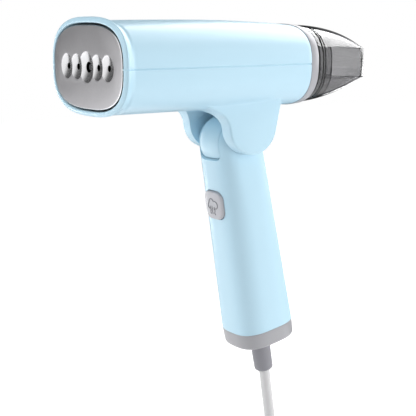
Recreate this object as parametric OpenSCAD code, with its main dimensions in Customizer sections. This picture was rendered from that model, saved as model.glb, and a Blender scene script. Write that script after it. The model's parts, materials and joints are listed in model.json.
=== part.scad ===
// Folding handheld garment steamer with a clip-on water tank.
// Millimetres, +Z up, soleplate towards -Y, origin at the grip on the handle's axis.

/* [Head] */
// half-width of the body just behind the soleplate
body_a0 = 45.5; // [44.5:0.5:47]
// half-width of the body at its rear end
body_a1 = 35.2; // [34:0.2:37]
// height of the body above the seam
body_up = 27; // [26:0.2:28.5]
// depth of the body below the seam
body_dn = 27.8; // [27:0.2:28]
// length of the coloured body behind the front face
body_len = 141; // [138:1:144]
// wall of the head's shells
wall = 2.4; // [2:0.1:2.6]

/* [Soleplate] */
// half-width of the soleplate
plate_a = 43.2; // [42.5:0.1:43.4]
// half-height of the soleplate
plate_h = 24.9; // [24.3:0.1:25.1]
// spacing of the steam dishes
dish_pitch = 12.9; // [12:0.1:13.4]
// width across an outer dish
dish_w = 15.4; // [13:0.2:16]
// width across the middle dish
dish_mid_w = 18.6; // [16:0.2:19]

/* [Handle] */
// lean of the handle, its foot towards the tank
lean = 10.4; // [8:0.1:12]
// distance from the grip up to the hinge
grip_up = 70; // [66:1:72]
// half-width of the handle at its foot
grip_a = 19.8; // [19.4:0.1:20.4]
// half-depth of the handle at its foot
grip_b = 22; // [21:0.1:22.4]
// side of the steam button
button_w = 19; // [17:0.2:19.6]
// how far the button stands out of the handle
button_proud = 1; // [0.6:0.1:1.4]

/* [Tank] */
// length of the clear tank behind the collar
tank_len = 40.5; // [38:0.5:44]
// half-width of the tank's flat end
tank_end_a = 29.5; // [27:0.5:31]
// wall of the tank
tank_wall = 1.8; // [1.4:0.1:2.2]

/* [Cord] */
// diameter of the mains cord
cord_d = 7.5; // [6:0.1:8]
// straight run of the hank
hank_run = 120; // [112:2:150]

/* [Hidden] */
$fn = 48;
// sides of a shell's half section
arc_n = 34;
// seats the head's own axes (front face at y = 0, seam at z = 0) in the part's frame
hinge = [0, 102.5, -50];
head_y = -grip_up * sin(lean) - hinge[1];
head_z = grip_up * cos(lean) - hinge[2];
// gap between parts that slide or turn
gap = 0.35;
// hinge sizes
ear_out = 27.7;
ear_in = 18.5;
ear_edge = 1.2;
knuckle_r = 17.8;
knuckle_flat = 18.15;
pin_r = 4.5;
cover_x = 10.7;
cover_low = -22;
cover_high = 150;
cover_corner = 3;
// handle stations, measured down from the hinge
handle_top_b = 17.8;
handle_end = 127.1;
cap_h = 11;
relief_end = 155.6;
button_t = 37.7;
button_travel = 1.5;
// collar and tank
collar_w = 6.2;
tank_y = body_len + 6.5;
tank_front = 134;
crease_up = 9.2;
crease_dn = 9.8;
spigot_a = 28.6;
spigot_h = 19.4;
// cord route, from the strain relief down to the hank
cord_route = [[0, 15.2, -82], [0, 17, -92], [0, 19, -106], [0, 20.8, -118], [0, 21.8, -126],
              [-2, 22, -136], [-6, 22, -148], [-9, 22, -158], [-10, 22, -168]];
hank_r = 23;
hank_y = 45;
hank_z = -228;
hank_x0 = -10;
hank_turns = 4.8;
hank_pitch = 7.6;
tail_x = hank_x0 + hank_turns * hank_pitch + cord_d / 2 + 7.9;
tail_route = [[tail_x - 10, 68, -160], [tail_x - 8, 65, -150], [tail_x - 4, 57, -143], [tail_x, 49, -144],
              [tail_x, 45.5, -152], [tail_x, 45, -164], [tail_x, 45, -176]];
plug_top = -176;

// ---------- shapes by formula ----------

function spow(v, p) = sign(v) * pow(abs(v), p);
// a point of a superellipse of half-sizes a and h
function se(a, h, n, t) = [a * spow(cos(t), 2 / n), h * spow(sin(t), 2 / n)];
function lerp(a, b, u) = a + (b - a) * u;
function ease(u) = let (v = min(max(u, 0), 1)) v * v * (3 - 2 * v);
function arc(c, r, t0, t1, n) = [for (i = [0:n]) c + r * [cos(lerp(t0, t1, i / n)), sin(lerp(t0, t1, i / n))]];
function outline(a, h, n, k) = [for (i = [0:k - 1]) se(a, h, n, 360 * i / k)];
function quad(a, b, c, d) = [[a, b, c], [a, c, d]];

// closed solid through rings of equal point counts; each flat end face fans out from its ring's first point
module loft(rings) {
    n = len(rings[0]);
    m = len(rings);
    pts = [for (r = rings) each r];
    sides = [for (j = [0:m - 2], i = [0:n - 1])
        each quad(j * n + i, j * n + (i + 1) % n, (j + 1) * n + (i + 1) % n, (j + 1) * n + i)];
    polyhedron(pts, concat(sides, [[for (i = [n:-1:1]) i % n]], [[for (i = [0:n - 1]) (m - 1) * n + i]]));
}

// superellipse sections [y, a, h, n] lofted along +Y
module se_loft(secs, k = 56)
    loft([for (s = secs) [for (p = outline(s[1], s[2], s[3], k)) [p[0], s[0], p[1]]]]);

function turned(f, back) = back ? [for (i = [len(f) - 1:-1:0]) f[i]] : f;
// the shell's cut face at the seam: a fan over the lip, then strips between skin and lining
function seam_face(p, q) = concat(
    [for (j = [0:p - 1]) [p + 2 * q, j, j + 1]],
    [[p + 2 * q, p, p + 2 * q - 1]],
    [for (i = [0:q - 2]) each quad(p + i, p + i + 1, p + 2 * q - 2 - i, p + 2 * q - 1 - i)]);

// one half of a shell: a closed loop of sections [y, a, h, n] swept over half a turn
module half_shell(secs, up) {
    n = arc_n + 1;
    m = len(secs);
    pts = [for (s = secs, i = [0:arc_n])
        let (p = i == 0 ? [s[1], 0] : i == arc_n ? [-s[1], 0] : se(s[1], s[2], s[3], 180 * i / arc_n))
        [p[0], s[0], up * p[1]]];
    skin = [for (j = [0:m - 1], i = [0:arc_n - 1])
        let (k = (j + 1) % m)
        each up > 0 ? quad(j * n + i, j * n + i + 1, k * n + i + 1, k * n + i)
                    : quad(j * n + i, k * n + i, k * n + i + 1, j * n + i + 1)];
    seam = seam_face(len(lip), len(body_ys));
    ends = [for (f = seam) each [[for (j = turned(f, up < 0)) j * n], [for (j = turned(f, up > 0)) j * n + arc_n]]];
    polyhedron(pts, concat(skin, ends));
}

// round tube swept along points, each ring square to the run
module tube(path, d, sides = 10) {
    m = len(path);
    rings = [for (i = [0:m - 1])
        let (t = path[min(i + 1, m - 1)] - path[max(i - 1, 0)],
             w = t / norm(t),
             u = cross([0, 1, 0], w) / norm(cross([0, 1, 0], w)),
             v = cross(w, u))
        [for (k = [0:sides - 1]) path[i] + d / 2 * (cos(360 * k / sides) * u + sin(360 * k / sides) * v)]];
    loft([for (i = [m - 1:-1:0]) rings[i]]);
}

module rounded(w, h, r) {
    square([w - 2 * r, h], center = true);
    square([w, h - 2 * r], center = true);
    for (x = [-1, 1], y = [-1, 1])
        translate([x * (w / 2 - r), y * (h / 2 - r)]) circle(r);
}

// ---------- places ----------

module head() translate([0, head_y, head_z]) children();
module handle() rotate([lean, 0, 0]) children();
// along X through the hinge, in the head's axes
module at_hinge() translate(hinge) rotate([0, 90, 0]) children();

// ---------- head shells ----------

function body_a(y) = lerp(body_a0, body_a1, y / body_len);
function body_h(y, up) = up > 0 ? body_up - 0.3 * y / body_len + 0.7 * sin(180 * y / body_len)
                                : body_dn - 0.1 * y / body_len;
function body_n(y) = 3.04 - 0.69 * pow(y / body_len, 1.3);
// flared lip round the soleplate: [y, growth at the side, at the top, at the bottom]
lip = [[0.7, 0.8, 0.8, 0.8], [0.2, 1.1, 1.1, 1.1], [0, 1.9, 1.9, 1.9], [0.35, 3, 2.9, 2.6],
       [0.85, 4, 3.8, 3.3], [1.4, 4.5, 4.3, 3.8], [2.1, 4.35, 4.15, 3.7], [3, 3.65, 3.45, 3.45],
       [4.1, 2.95, 2.75, 3.1], [5.5, 2.4, 2.35, 2.95]];
body_ys = [7.2, 24, 46, 70, 94, 116, body_len];

function shell_secs(up) = concat(
    [for (s = lip) [s[0], plate_a + s[1], plate_h + (up > 0 ? s[2] : s[3]), 2.8]],
    [for (y = body_ys) [y, body_a(y), body_h(y, up), body_n(y)]],
    [for (i = [len(body_ys) - 1:-1:0]) let (y = body_ys[i])
        [y, body_a(y) - wall, body_h(y, up) - wall, body_n(y)]],
    [[6.4, plate_a + 0.8, plate_h + 0.8, 2.8]]);

module upper_shell() color("lightskyblue") head() {
    half_shell(shell_secs(1), 1);
    // ribs that press the pump down on its rests
    for (y = [68, 118]) translate([-14, y, 12.5]) cube([28, 3, 13.2]);
}

// side view of the yoke: a tangent run-in, a hollow curve, then the round foot
yoke_c1 = [69.5, -41.5];
yoke_c2 = [101.5, -38];
yoke_side = concat([yoke_c2 + 18 * [cos(348), sin(348)], [124.05, -19], [64, -19], [64, -22.87]],
                   arc(yoke_c1, 14.2, 63.4, 6.24, 8), arc(yoke_c2, 18, 186.24, 340.6, 21));
// an outline drawn in by d, each edge moved square to itself and each corner where its edges meet again
function drawn_in(p, d) = let (n = len(p)) [for (i = [0:n - 1])
    let (a = p[i] - p[(i + n - 1) % n], b = p[(i + 1) % n] - p[i],
         u = [-a[1], a[0]] / norm(a), v = [-b[1], b[0]] / norm(b)) p[i] + d * (u + v) / (1 + u * v)];

module yoke() difference() {
    // the side view carried across the head, its outer edges rounded by quarter circles
    loft([for (s = [1, -1], i = [0:4])
        let (t = s > 0 ? 90 - 22.5 * i : 22.5 * i, x = s * (ear_out - ear_edge * (1 - sin(t))))
        [for (p = drawn_in(yoke_side, ear_edge * (1 - cos(t)))) [x, p[0], p[1]]]]);
    // arched way that the handle folds through
    translate([0, hinge[1], 0]) rotate([90, 0, 0]) linear_extrude(45)
        polygon(concat([[ear_in, -70]], [for (t = [0:7.5:180]) [ear_in * cos(t), -43.5 + 15.2 * sin(t)]],
                       [[-ear_in, -70]]));
    // only the ears reach up into the shell's wall
    translate([-22, 60, -21.8]) cube([44, 70, 5]);
    at_hinge() cylinder(r = 18.8, h = 2 * ear_in, center = true);
    translate([-ear_in, hinge[1], -70]) cube([2 * ear_in, 30, 32]);
    for (s = [0, 1]) mirror([s, 0, 0]) at_hinge() translate([0, 0, 14]) cylinder(r = pin_r + 0.02, h = 11.3);
}

module lower_shell() color("lightblue") head() {
    half_shell(shell_secs(-1), -1);
    yoke();
    // rests for the pump's rubber rings
    for (y = [68, 118]) difference() {
        translate([-14, y, -26.4]) cube([28, 3, 15]);
        translate([0, y - 1, -4]) rotate([-90, 0, 0]) cylinder(r = 12.02, h = 5);
    }
}

// ---------- soleplate and boiler ----------

module dish(x, w, deep, hole) {
    r = (w * w / 4 + deep * deep) / (2 * deep);
    translate([x, deep - r, 0]) sphere(r, $fn = 72);
    translate([x, -1, 0]) rotate([-90, 0, 0]) cylinder(d = hole, h = 8);
}

module steam_plate() color("silver") head() difference() {
    se_loft([[0, plate_a - 0.6, plate_h - 0.6, 2.9], [0.5, plate_a, plate_h, 2.9], [4.5, plate_a, plate_h, 2.9]], 64);
    for (i = [-2, -1, 1, 2]) dish(i * dish_pitch, dish_w, 2.2, 3.75);
    dish(0, dish_mid_w, 3, 6.5);
}

// spreader pin that stands in the middle steam hole
module steam_pin() color("dimgray") head() translate([0, 2.6, 0]) rotate([-90, 0, 0]) {
    cylinder(r = 1.7, h = 3);
    translate([0, 0, 2]) difference() {
        cylinder(r = 3.22, h = 2);
        for (a = [0:120:240]) rotate(a + 60) translate([2.6, 0, -1]) cylinder(r = 0.8, h = 4, $fn = 20);
    }
}

module plate_gasket() color("darkslategray") head() difference() {
    se_loft([[4.5, plate_a + 0.4, plate_h + 0.4, 2.9], [6.3, plate_a + 0.4, plate_h + 0.4, 2.9]], 64);
    se_loft([[4, plate_a - 2.6, plate_h - 4.6, 2.9], [7, plate_a - 2.6, plate_h - 4.6, 2.9]], 64);
}

boiler_a = 39;
boiler_h = 17;
rod_x = 34.3;

module boiler() color("gainsboro") head() difference() {
    se_loft([[4.5, boiler_a, boiler_h, 2.9], [48, boiler_a - 2, boiler_h, 2.9]], 40);
    // steam box behind the holes, with baffles left standing
    for (z = [-1, 1]) translate([0, 4, z * 4.6]) rotate([-90, 0, 0]) linear_extrude(8) rounded(60, 7.2, 3);
    for (x = [-25.8, -12.9, 0, 12.9, 25.8]) translate([x, 4, 0]) rotate([-90, 0, 0]) cylinder(r = 3.6, h = 8);
    // water chamber, open to the rear, and its two ways forward
    translate([0, 17, 0]) rotate([-90, 0, 0]) linear_extrude(40) rounded(58, 24, 6);
    for (x = [-20, 20]) translate([x, 10, 4.6]) rotate([-90, 0, 0]) cylinder(r = 2, h = 9);
    for (x = [-rod_x, rod_x]) translate([x, 9, 0]) rotate([-90, 0, 0]) cylinder(r = 3.25, h = 50);
    for (x = [-1, 1], z = [-1, 1]) translate([x * 25, 36, z * 14.4]) rotate([-90, 0, 0]) cylinder(r = 1.5, h = 20);
}

module boiler_cover() color("lightgray") head() difference() {
    union() {
        se_loft([[48, boiler_a - 2, boiler_h, 2.9], [50.5, boiler_a - 2.6, boiler_h - 0.6, 2.9]], 40);
        translate([0, 50, pump_z]) rotate([-90, 0, 0]) cylinder(r = 4, h = 6);
        translate([0, 56, pump_z]) rotate([-90, 0, 0]) cylinder(r1 = 2.6, r2 = 2.2, h = 4.2);
    }
    translate([0, 47, pump_z]) rotate([-90, 0, 0]) cylinder(r = 1.3, h = 20);
    for (x = [-rod_x, rod_x]) translate([x, 40, 0]) rotate([-90, 0, 0]) cylinder(r = 3.25, h = 20);
    for (x = [-1, 1], z = [-1, 1]) translate([x * 25, 40, z * 14.4]) rotate([-90, 0, 0]) cylinder(r = 1.6, h = 20);
}

module cover_screws() color("slategray") head()
    for (x = [-1, 1], z = [-1, 1]) translate([x * 25, 38, z * 14.4]) rotate([-90, 0, 0]) {
        cylinder(r = 1.48, h = 12.6);
        translate([0, 0, 12.5]) difference() {
            cylinder(r = 2.6, h = 1.8);
            for (a = [0, 90]) rotate(a) translate([-1.6, -0.3, 1]) cube([3.2, 0.6, 2]);
        }
    }

module heating_rods() color("gray") head()
    for (x = [-rod_x, rod_x]) translate([x, 9.5, 0]) rotate([-90, 0, 0]) {
        cylinder(r = 3.2, h = 42);
        translate([0, 0, 42]) cylinder(r = 2.6, h = 3);
        translate([-0.4, -1.5, 44]) cube([0.8, 3, 8]);
    }

module thermostat() color("saddlebrown") head() translate([0, 26, boiler_h + 0.02]) {
    cylinder(r = 8, h = 1.2);
    cylinder(r = 6.6, h = 4.6);
    for (x = [-1, 1]) translate([x * 4.4 - 1.5, -0.4, 4]) cube([3, 0.8, 3]);
}

module thermal_fuse() color("khaki") head() {
    translate([0, 42, boiler_h + 2.2]) rotate([0, 90, 0]) cylinder(r = 1.9, h = 12, center = true);
    translate([0, 42, boiler_h + 2.2]) rotate([0, 90, 0]) cylinder(r = 0.5, h = 26, center = true);
    for (x = [-13, 13]) translate([x - 2, 40.5, boiler_h - 0.1]) cube([4, 3, 2.8]);
}

// ---------- pump and water way ----------

pump_z = -4;

module pump() color("whitesmoke") head() translate([0, 0, pump_z]) {
    difference() {
        translate([0, 72.6, 0]) rotate([-90, 0, 0]) linear_extrude(43.6) rounded(27, 24, 4);
        for (x = [-13.5, 13.5], z = [-12, 12]) translate([x, 94, z]) cube([9, 30, 9], center = true);
    }
    translate([0, 66, 0]) rotate([-90, 0, 0]) cylinder(r = 7.98, h = 56);
    translate([0, 61.6, 0]) rotate([-90, 0, 0]) cylinder(r1 = 2.2, r2 = 2.6, h = 5);
    translate([0, 121, 0]) rotate([-90, 0, 0]) cylinder(r = 2.2, h = 5.6);
}

module pump_frame() color("dimgray") head() translate([0, 0, pump_z]) difference() {
    translate([-15, 77, -11.6]) cube([30, 34, 23.2]);
    translate([-13.6, 70, -13]) cube([27.2, 60, 26]);
}

module pump_mounts() color("black") head()
    for (y = [68, 118]) translate([0, y, pump_z]) rotate([-90, 0, 0]) difference() {
        union() {
            cylinder(r = 12, h = 3);
            translate([0, 0, -1.2]) cylinder(r = 10.6, h = 5.4);
        }
        translate([0, 0, -3]) cylinder(r = 8, h = 10);
    }

// hose from the pump to the boiler
module water_tube() color("white") head() translate([0, 56.1, pump_z]) rotate([-90, 0, 0]) difference() {
    union() {
        cylinder(r = 3.7, h = 9.8);
        for (z = [1.2, 7.6]) translate([0, 0, z]) cylinder(r = 4.1, h = 1);
    }
    translate([0, 0, -1]) cylinder(r = 2.62, h = 12);
}

// rear bulkhead: cup for the tank's neck, nozzle in its middle
module tank_socket() color("darkgray") head() difference() {
    union() {
        se_loft([[126.5, body_a(126) - wall - 0.3, body_h(126, 1) - wall - 0.4, 2.4],
                 [129, body_a(129) - wall - 0.3, body_h(129, 1) - wall - 0.4, 2.4]], 44);
        se_loft([[128.5, spigot_a + 2.6, spigot_h + 2.6, 2.5], [141, spigot_a + 2.6, spigot_h + 2.6, 2.5]], 44);
        translate([0, 122.3, pump_z]) rotate([-90, 0, 0]) cylinder(r = 3.8, h = 6);
    }
    se_loft([[131, spigot_a + gap, spigot_h + gap, 2.5], [150, spigot_a + gap, spigot_h + gap, 2.5]], 44);
    translate([0, 110, pump_z]) rotate([-90, 0, 0]) cylinder(r = 2.25, h = 30);
}

module socket_nozzle() color("silver") head() translate([0, 127.4, pump_z]) rotate([-90, 0, 0]) difference() {
    union() {
        cylinder(r = 2.23, h = 4);
        translate([0, 0, 3.6]) cylinder(r = 4.4, h = 5.4);
        translate([0, 0, 9]) cylinder(r1 = 4.4, r2 = 3.4, h = 1.6);
    }
    translate([0, 0, -1]) cylinder(r = 1.2, h = 14);
    translate([0, 0, 5.6]) rotate_extrude() translate([4.4, 0]) circle(0.9, $fn = 20);
}

module nozzle_ring() color("black") head() translate([0, 133, pump_z]) rotate([-90, 0, 0])
    rotate_extrude() translate([4.42, 0]) circle(0.86, $fn = 20);

module tank_collar() color("silver") head() difference() {
    se_loft([for (u = [0, 0.5, 1]) let (y = body_len + collar_w * u)
        [y, body_a(body_len) - 0.6 * u, body_h(body_len, 1) + 0.5 - 0.5 * u, 2.35 - 0.05 * u]], 60);
    se_loft([[140, spigot_a + gap, spigot_h + gap, 2.5], [150, spigot_a + gap, spigot_h + gap, 2.5]], 44);
}

// ---------- tank ----------

tank_n = 2.25;
arch_n = 16;
side_n = 6;

// outer section of the tank at u = 0 (rim) to 1 (end); off shrinks it for the inside
function tank_arch(u, up, off) =
    let (h0 = up > 0 ? 26.3 : 26.9,
         zc = up > 0 ? crease_up : crease_dn,
         flat = up > 0 ? 12.6 : 11.9,
         a0 = 34.6,
         top = flat + (h0 - flat) * pow(1 - pow(u, up > 0 ? 1.5 : 2.1), 1 / 1.7) - off,
         x0 = a0 * pow(1 - pow(zc / h0, tank_n), 1 / tank_n),
         x1 = lerp(x0, tank_end_a, u) - off,
         z1 = zc - off * 0.4)
    [for (i = [0:arch_n])
        let (s = cos(180 * i / arch_n),
             g = (h0 * pow(max(1 - pow(abs(s) * x0 / a0, tank_n), 0), 1 / tank_n) - zc) / (h0 - zc))
        [s * x1, up * (z1 + (top - z1) * pow(max(g, 0), 1 - 0.65 * u))]];
function tank_side(u, off) =
    let (a0 = 34.6)
    [for (i = [1:side_n - 1])
        let (z = lerp(crease_up, -crease_dn, i / side_n),
             ring = a0 * pow(1 - pow(abs(z) / (z > 0 ? 26.3 : 26.9), tank_n), 1 / tank_n),
             bow = 0.3 * (1 - pow(z / crease_dn, 2)))
        [-(lerp(ring, tank_end_a + bow, u) - off), z * (1 - off * 0.04)]];
function tank_section(u, off) =
    let (up = tank_arch(u, 1, off), dn = tank_arch(u, -1, off), sd = tank_side(u, off))
    concat(up, sd, [for (i = [arch_n:-1:0]) dn[i]],
           [for (i = [len(sd) - 1:-1:0]) [-sd[i][0], sd[i][1]]]);

// solid through stations [distance from the rim, off]
module tank_solid(rows) loft([for (r = rows)
    [for (p = tank_section(r[0] / tank_len, r[1])) [p[0], tank_y + r[0], p[1]]]]);
// two grip grooves behind the rim, then the plain wall to the flat end
tank_skin = concat([[0, 0], [3.2, 0], [3.7, 0.7], [4.2, 0], [5.2, 0], [5.7, 0.65], [6.2, 0]],
    [for (u = [0.28, 0.42, 0.58, 0.72, 0.84, 0.93, 0.98, 1]) [u * tank_len, 0]]);
// inside: the neck's thick sleeve ends in a step, then an even wall
tank_hollow = concat([[2.6, tank_wall + 1.3], [12, tank_wall + 1.3], [12.6, tank_wall]],
    [for (u = [0.42, 0.58, 0.72, 0.84, 0.92]) [u * tank_len, tank_wall]], [[tank_len - tank_wall, tank_wall]]);

module tank_body() color("slategray", 0.5) head() difference() {
    union() {
        tank_solid(tank_skin);
        se_loft([[tank_front, spigot_a, spigot_h, 2.5], [tank_y + 1, spigot_a, spigot_h, 2.5]], 44);
    }
    tank_solid(tank_hollow);
    se_loft([[tank_front + 1.8, spigot_a - 1.8, spigot_h - 1.8, 2.5],
             [tank_y + 5, spigot_a - 1.8, spigot_h - 1.8, 2.5]], 44);
    // seat for the outlet valve and the filler's bore
    translate([0, tank_front - 1, pump_z]) rotate([-90, 0, 0]) cylinder(r = 6.2, h = 5);
    translate([15, tank_front - 1, 3]) rotate([-90, 0, 0]) cylinder(r = 6, h = 5);
    // groove for the seal round the neck
    translate([0, tank_front + 6, 0]) difference() {
        se_loft([[0, spigot_a + 3, spigot_h + 3, 2.5], [1.8, spigot_a + 3, spigot_h + 3, 2.5]], 44);
        se_loft([[-1, spigot_a - 0.8, spigot_h - 0.8, 2.5], [3, spigot_a - 0.8, spigot_h - 0.8, 2.5]], 44);
    }
}

module tank_seal() color("black") head() translate([0, tank_front + 6.1, 0]) difference() {
    se_loft([[0, spigot_a + 0.2, spigot_h + 0.2, 2.5], [1.6, spigot_a + 0.2, spigot_h + 0.2, 2.5]], 44);
    se_loft([[-1, spigot_a - 0.78, spigot_h - 0.78, 2.5], [3, spigot_a - 0.78, spigot_h - 0.78, 2.5]], 44);
}

// cup-shaped rubber outlet valve that closes when the tank comes off the nozzle
module tank_valve() color("dimgray") head() translate([0, tank_front, pump_z]) rotate([-90, 0, 0]) difference() {
    union() {
        cylinder(r = 6.17, h = 3);
        translate([0, 0, 1.8]) cylinder(r = 7.6, h = 7.4);
    }
    translate([0, 0, -1]) cylinder(r = 5.6, h = 8.2);
    cylinder(r = 0.9, h = 12, $fn = 24);
}

module filler_plug() color("gray") head() translate([15, tank_front, 3]) rotate([-90, 0, 0]) {
    cylinder(r = 5.97, h = 2.4);
    translate([0, 0, 1.8]) cylinder(r1 = 6.7, r2 = 5.6, h = 2.2);
    translate([0, 0, -1.2]) cylinder(r = 6.9, h = 1.2);
}

// ---------- handle ----------

function grip_w(t) = lerp(18.47, grip_a, ease(t / 170) * 1.13);
function grip_d(t) = lerp(handle_top_b, grip_b, t / handle_end);
function flat_w(t, off) = lerp(knuckle_flat, grip_w(t) - 0.04, ease((t - 19) / 30)) - off;
// half-depth of the handle at x, off inside the surface
function skin_y(x, t, off) =
    let (a = grip_w(t) - off)
    (grip_d(t) - off) * pow(max(1 - pow(min(abs(x) / a, 1), 3), 0), 1 / 3);
rise_n = 21;
grip_ts = [0, 9, 19, 26, 34, 44, 58, 76, 96, 112, handle_end];
turn_n = 7;

// rings of the handle from its foot up and over the knuckle, ending in a ridge line
function grip_ring(t, off, turn) =
    let (f = flat_w(t, off), xs = [for (i = [0:rise_n]) f * sin(lerp(-90, 90, i / rise_n))])
    concat([for (x = xs) let (r = skin_y(x, t, off)) [x, -r * cos(turn), r * sin(turn) + grip_up - t]],
           [for (i = [rise_n:-1:0]) let (r = skin_y(xs[i], t, off))
               [xs[i], r * cos(turn), r * sin(turn) + grip_up - t]]);
function grip_rings(off, low) = concat(
    [for (i = [len(grip_ts) - 1:-1:0]) grip_ring(grip_ts[i] + (i == len(grip_ts) - 1 ? low : 0), off, 0)],
    [for (i = [1:turn_n - 1]) grip_ring(0, off, 90 * i / turn_n)]);

module grip_solid(off, low) {
    rings = grip_rings(off, low);
    m = len(rings);
    n = len(rings[0]);
    k = rise_n + 1;
    f = flat_w(0, off);
    ridge = [for (i = [0:rise_n]) let (x = f * sin(lerp(-90, 90, i / rise_n)))
        [x, 0, skin_y(x, 0, off) + grip_up]];
    pts = concat([for (r = rings) each r], ridge);
    top = m * n;
    last = (m - 1) * n;
    sides = [for (j = [0:m - 2], i = [0:n - 1])
        each quad(j * n + i, j * n + (i + 1) % n, (j + 1) * n + (i + 1) % n, (j + 1) * n + i)];
    front = [for (i = [0:rise_n - 1]) each quad(last + i, last + i + 1, top + i + 1, top + i)];
    rear = [for (i = [0:rise_n - 1])
        each quad(last + k + i, last + k + i + 1, top + rise_n - i - 1, top + rise_n - i)];
    cheeks = [[last + rise_n, last + k, top + rise_n], [last + n - 1, last, top]];
    foot = [[for (i = [n - 1:-1:0]) i]];
    polyhedron(pts, [for (g = concat(sides, front, rear, cheeks, foot)) [for (i = [len(g) - 1:-1:0]) g[i]]]);
}

// Solid carried round the hinge: for each angle, from the front over the top, points [x, radius]. Its half-width
// draws in by a quarter circle towards the low end, which rounds both lower corners.
function cover_w(t, low, w) = let (s = min(max((t - low) / 9.6, 0), 1))
    w - cover_corner * (1 - sqrt(1 - pow(1 - s, 2)));
function cover_turns(low, high) = concat([for (u = [0, 0.06, 0.25, 0.55, 1]) low + 9.6 * u],
    [for (i = [1:11]) lerp(low + 9.6, high, i / 11)]);
module round_hinge(turns, lines) loft([for (i = [0:len(turns) - 1]) let (t = turns[i])
    [for (p = lines[i]) [p[0], -p[1] * cos(t), grip_up + p[1] * sin(t)]]]);
// arched section that follows the knuckle, off inside it, from one side to the other, closed at radius r0
function knuckle_line(w, off, r0, k) = concat([for (i = [k:-1:-k]) [w * i / k, skin_y(w * i / k, 0, 0) - off]],
    [[-w, r0], [w, r0]]);

module button_prism(w, r, y0, y1) translate([0, y1, grip_up - button_t]) rotate([90, 0, 0])
    linear_extrude(y1 - y0) rounded(w, w, r);

module handle_shell() color("skyblue") handle() difference() {
    grip_solid(0, 0);
    grip_solid(wall, 2);
    // window for the knuckle's cover, with the same round corners
    window = cover_turns(cover_low - 2, cover_high + 2);
    round_hinge(window, [for (t = window) let (w = cover_w(t, cover_low - 2, cover_x + gap))
        [[w, 22], [-w, 22], [-w, 12.6], [w, 12.6]]]);
    button_prism(button_w + 0.8, 5.9, -26, -11);
    translate([0, 0, grip_up]) rotate([0, 90, 0]) cylinder(r = 6.02, h = 60, center = true);
}

// drum-shaped cover that closes the knuckle over the wires, flush with it
module knuckle_cover() color("powderblue") handle() difference() {
    outside = cover_turns(cover_low, cover_high);
    inside = concat([cover_low - 3], outside, [cover_high + 3]);
    round_hinge(outside, [for (t = outside) knuckle_line(cover_w(t, cover_low, cover_x), 0.12, 12, 5)]);
    round_hinge(inside, [for (t = inside) knuckle_line(cover_w(t, cover_low, cover_x) - 1.8, 2.3, 10, 3)]);
}

module hinge_bushes() color("ivory") handle() for (s = [0, 1]) mirror([s, 0, 0])
    translate([0, 0, grip_up]) rotate([0, 90, 0]) difference() {
        union() {
            translate([0, 0, 14.2]) cylinder(r = 6, h = 3.9);
            translate([0, 0, 13]) cylinder(r = 7.6, h = 1.4);
        }
        cylinder(r = pin_r + 0.05, h = 40);
    }

module hinge_pin(s) color("lightsteelblue") head() mirror([s, 0, 0]) at_hinge() difference() {
    union() {
        translate([0, 0, 12.2]) cylinder(r = pin_r, h = 12.9);
    }
    translate([0, 0, 10]) cylinder(r = 2.8, h = 12);
}

module hinge_pin_left() hinge_pin(1);
module hinge_pin_right() hinge_pin(0);

// ---------- steam button ----------

module steam_button() color("darkgray") handle() {
    // cap with its face curved as the handle is
    intersection() {
        button_prism(button_w, 5.5, -22, -14.2);
        translate([0, 46 - (grip_d(button_t) + button_proud) + 8, grip_up - button_t]) rotate([1.9, 0, 0])
            cylinder(r = 54, h = 40, center = true, $fn = 160);
    }
    translate([0, 0, 0]) button_prism(21.6, 6, -14.4, -13.2);
    translate([0, -10.9, grip_up - button_t]) rotate([90, 0, 0]) cylinder(r = 3, h = 2.6);
}

module microswitch() color("black") handle() translate([0, 0, grip_up - button_t]) {
    difference() {
        translate([-6.4, -8.4, -3.2]) cube([12.8, 6.2, 6.4]);
        for (x = [-3.3, 3.3]) translate([x, -6, 0]) cylinder(r = 1.1, h = 10, center = true);
    }
    translate([-1.2, -9.1, -1.2]) cube([2.4, 1, 2.4]);
}

module control_board() color("seagreen") handle() difference() {
    translate([-11, -2.2, -44]) cube([22, 1.6, 92]);
    for (x = [-8.4, 8.4], z = [-41, 45]) translate([x, -3, z]) rotate([-90, 0, 0]) cylinder(r = 1.4, h = 4);
}

module board_relay() color("royalblue") handle() translate([-8, -0.6, 4]) cube([16, 11, 19]);

module board_capacitor() color("goldenrod") handle() translate([0, -0.6, -12]) difference() {
    translate([-7.5, 0, -8]) cube([15, 9, 14]);
    for (x = [-7.5, 7.5]) translate([x, 9, -1]) rotate([0, 0, 45]) cube([1.6, 1.6, 20], center = true);
}

module board_triac() color("dimgray") handle() translate([0, -0.6, -36]) {
    translate([-5, 0, 0]) cube([10, 4.6, 9]);
    difference() {
        translate([-5, 0, 8.9]) cube([10, 1.3, 6]);
        translate([0, -1, 12]) rotate([-90, 0, 0]) cylinder(r = 1.7, h = 4);
    }
}

module board_rails() color("lightgray") handle() for (s = [0, 1]) mirror([s, 0, 0]) difference() {
    union() {
        translate([11.1, -4.4, -48]) cube([2.4, 6.2, 98]);
        for (z = [-41, 45]) translate([7, -4.4, z - 2.4]) cube([5, 2.1, 4.8]);
    }
    for (z = [-30:15:30]) translate([12, 0.2, z]) rotate([0, 90, 0]) cylinder(r = 0.9, h = 6, center = true);
}

module board_screws() color("slategray") handle() for (x = [-8.4, 8.4], z = [-41, 45])
    translate([x, -0.6, z]) rotate([90, 0, 0]) {
        cylinder(r = 1.35, h = 1.62);
        translate([0, 0, -1.4]) cylinder(r = 2.2, h = 1.4);
    }

// ---------- foot, strain relief, clamp ----------

foot_z = grip_up - handle_end;

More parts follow.
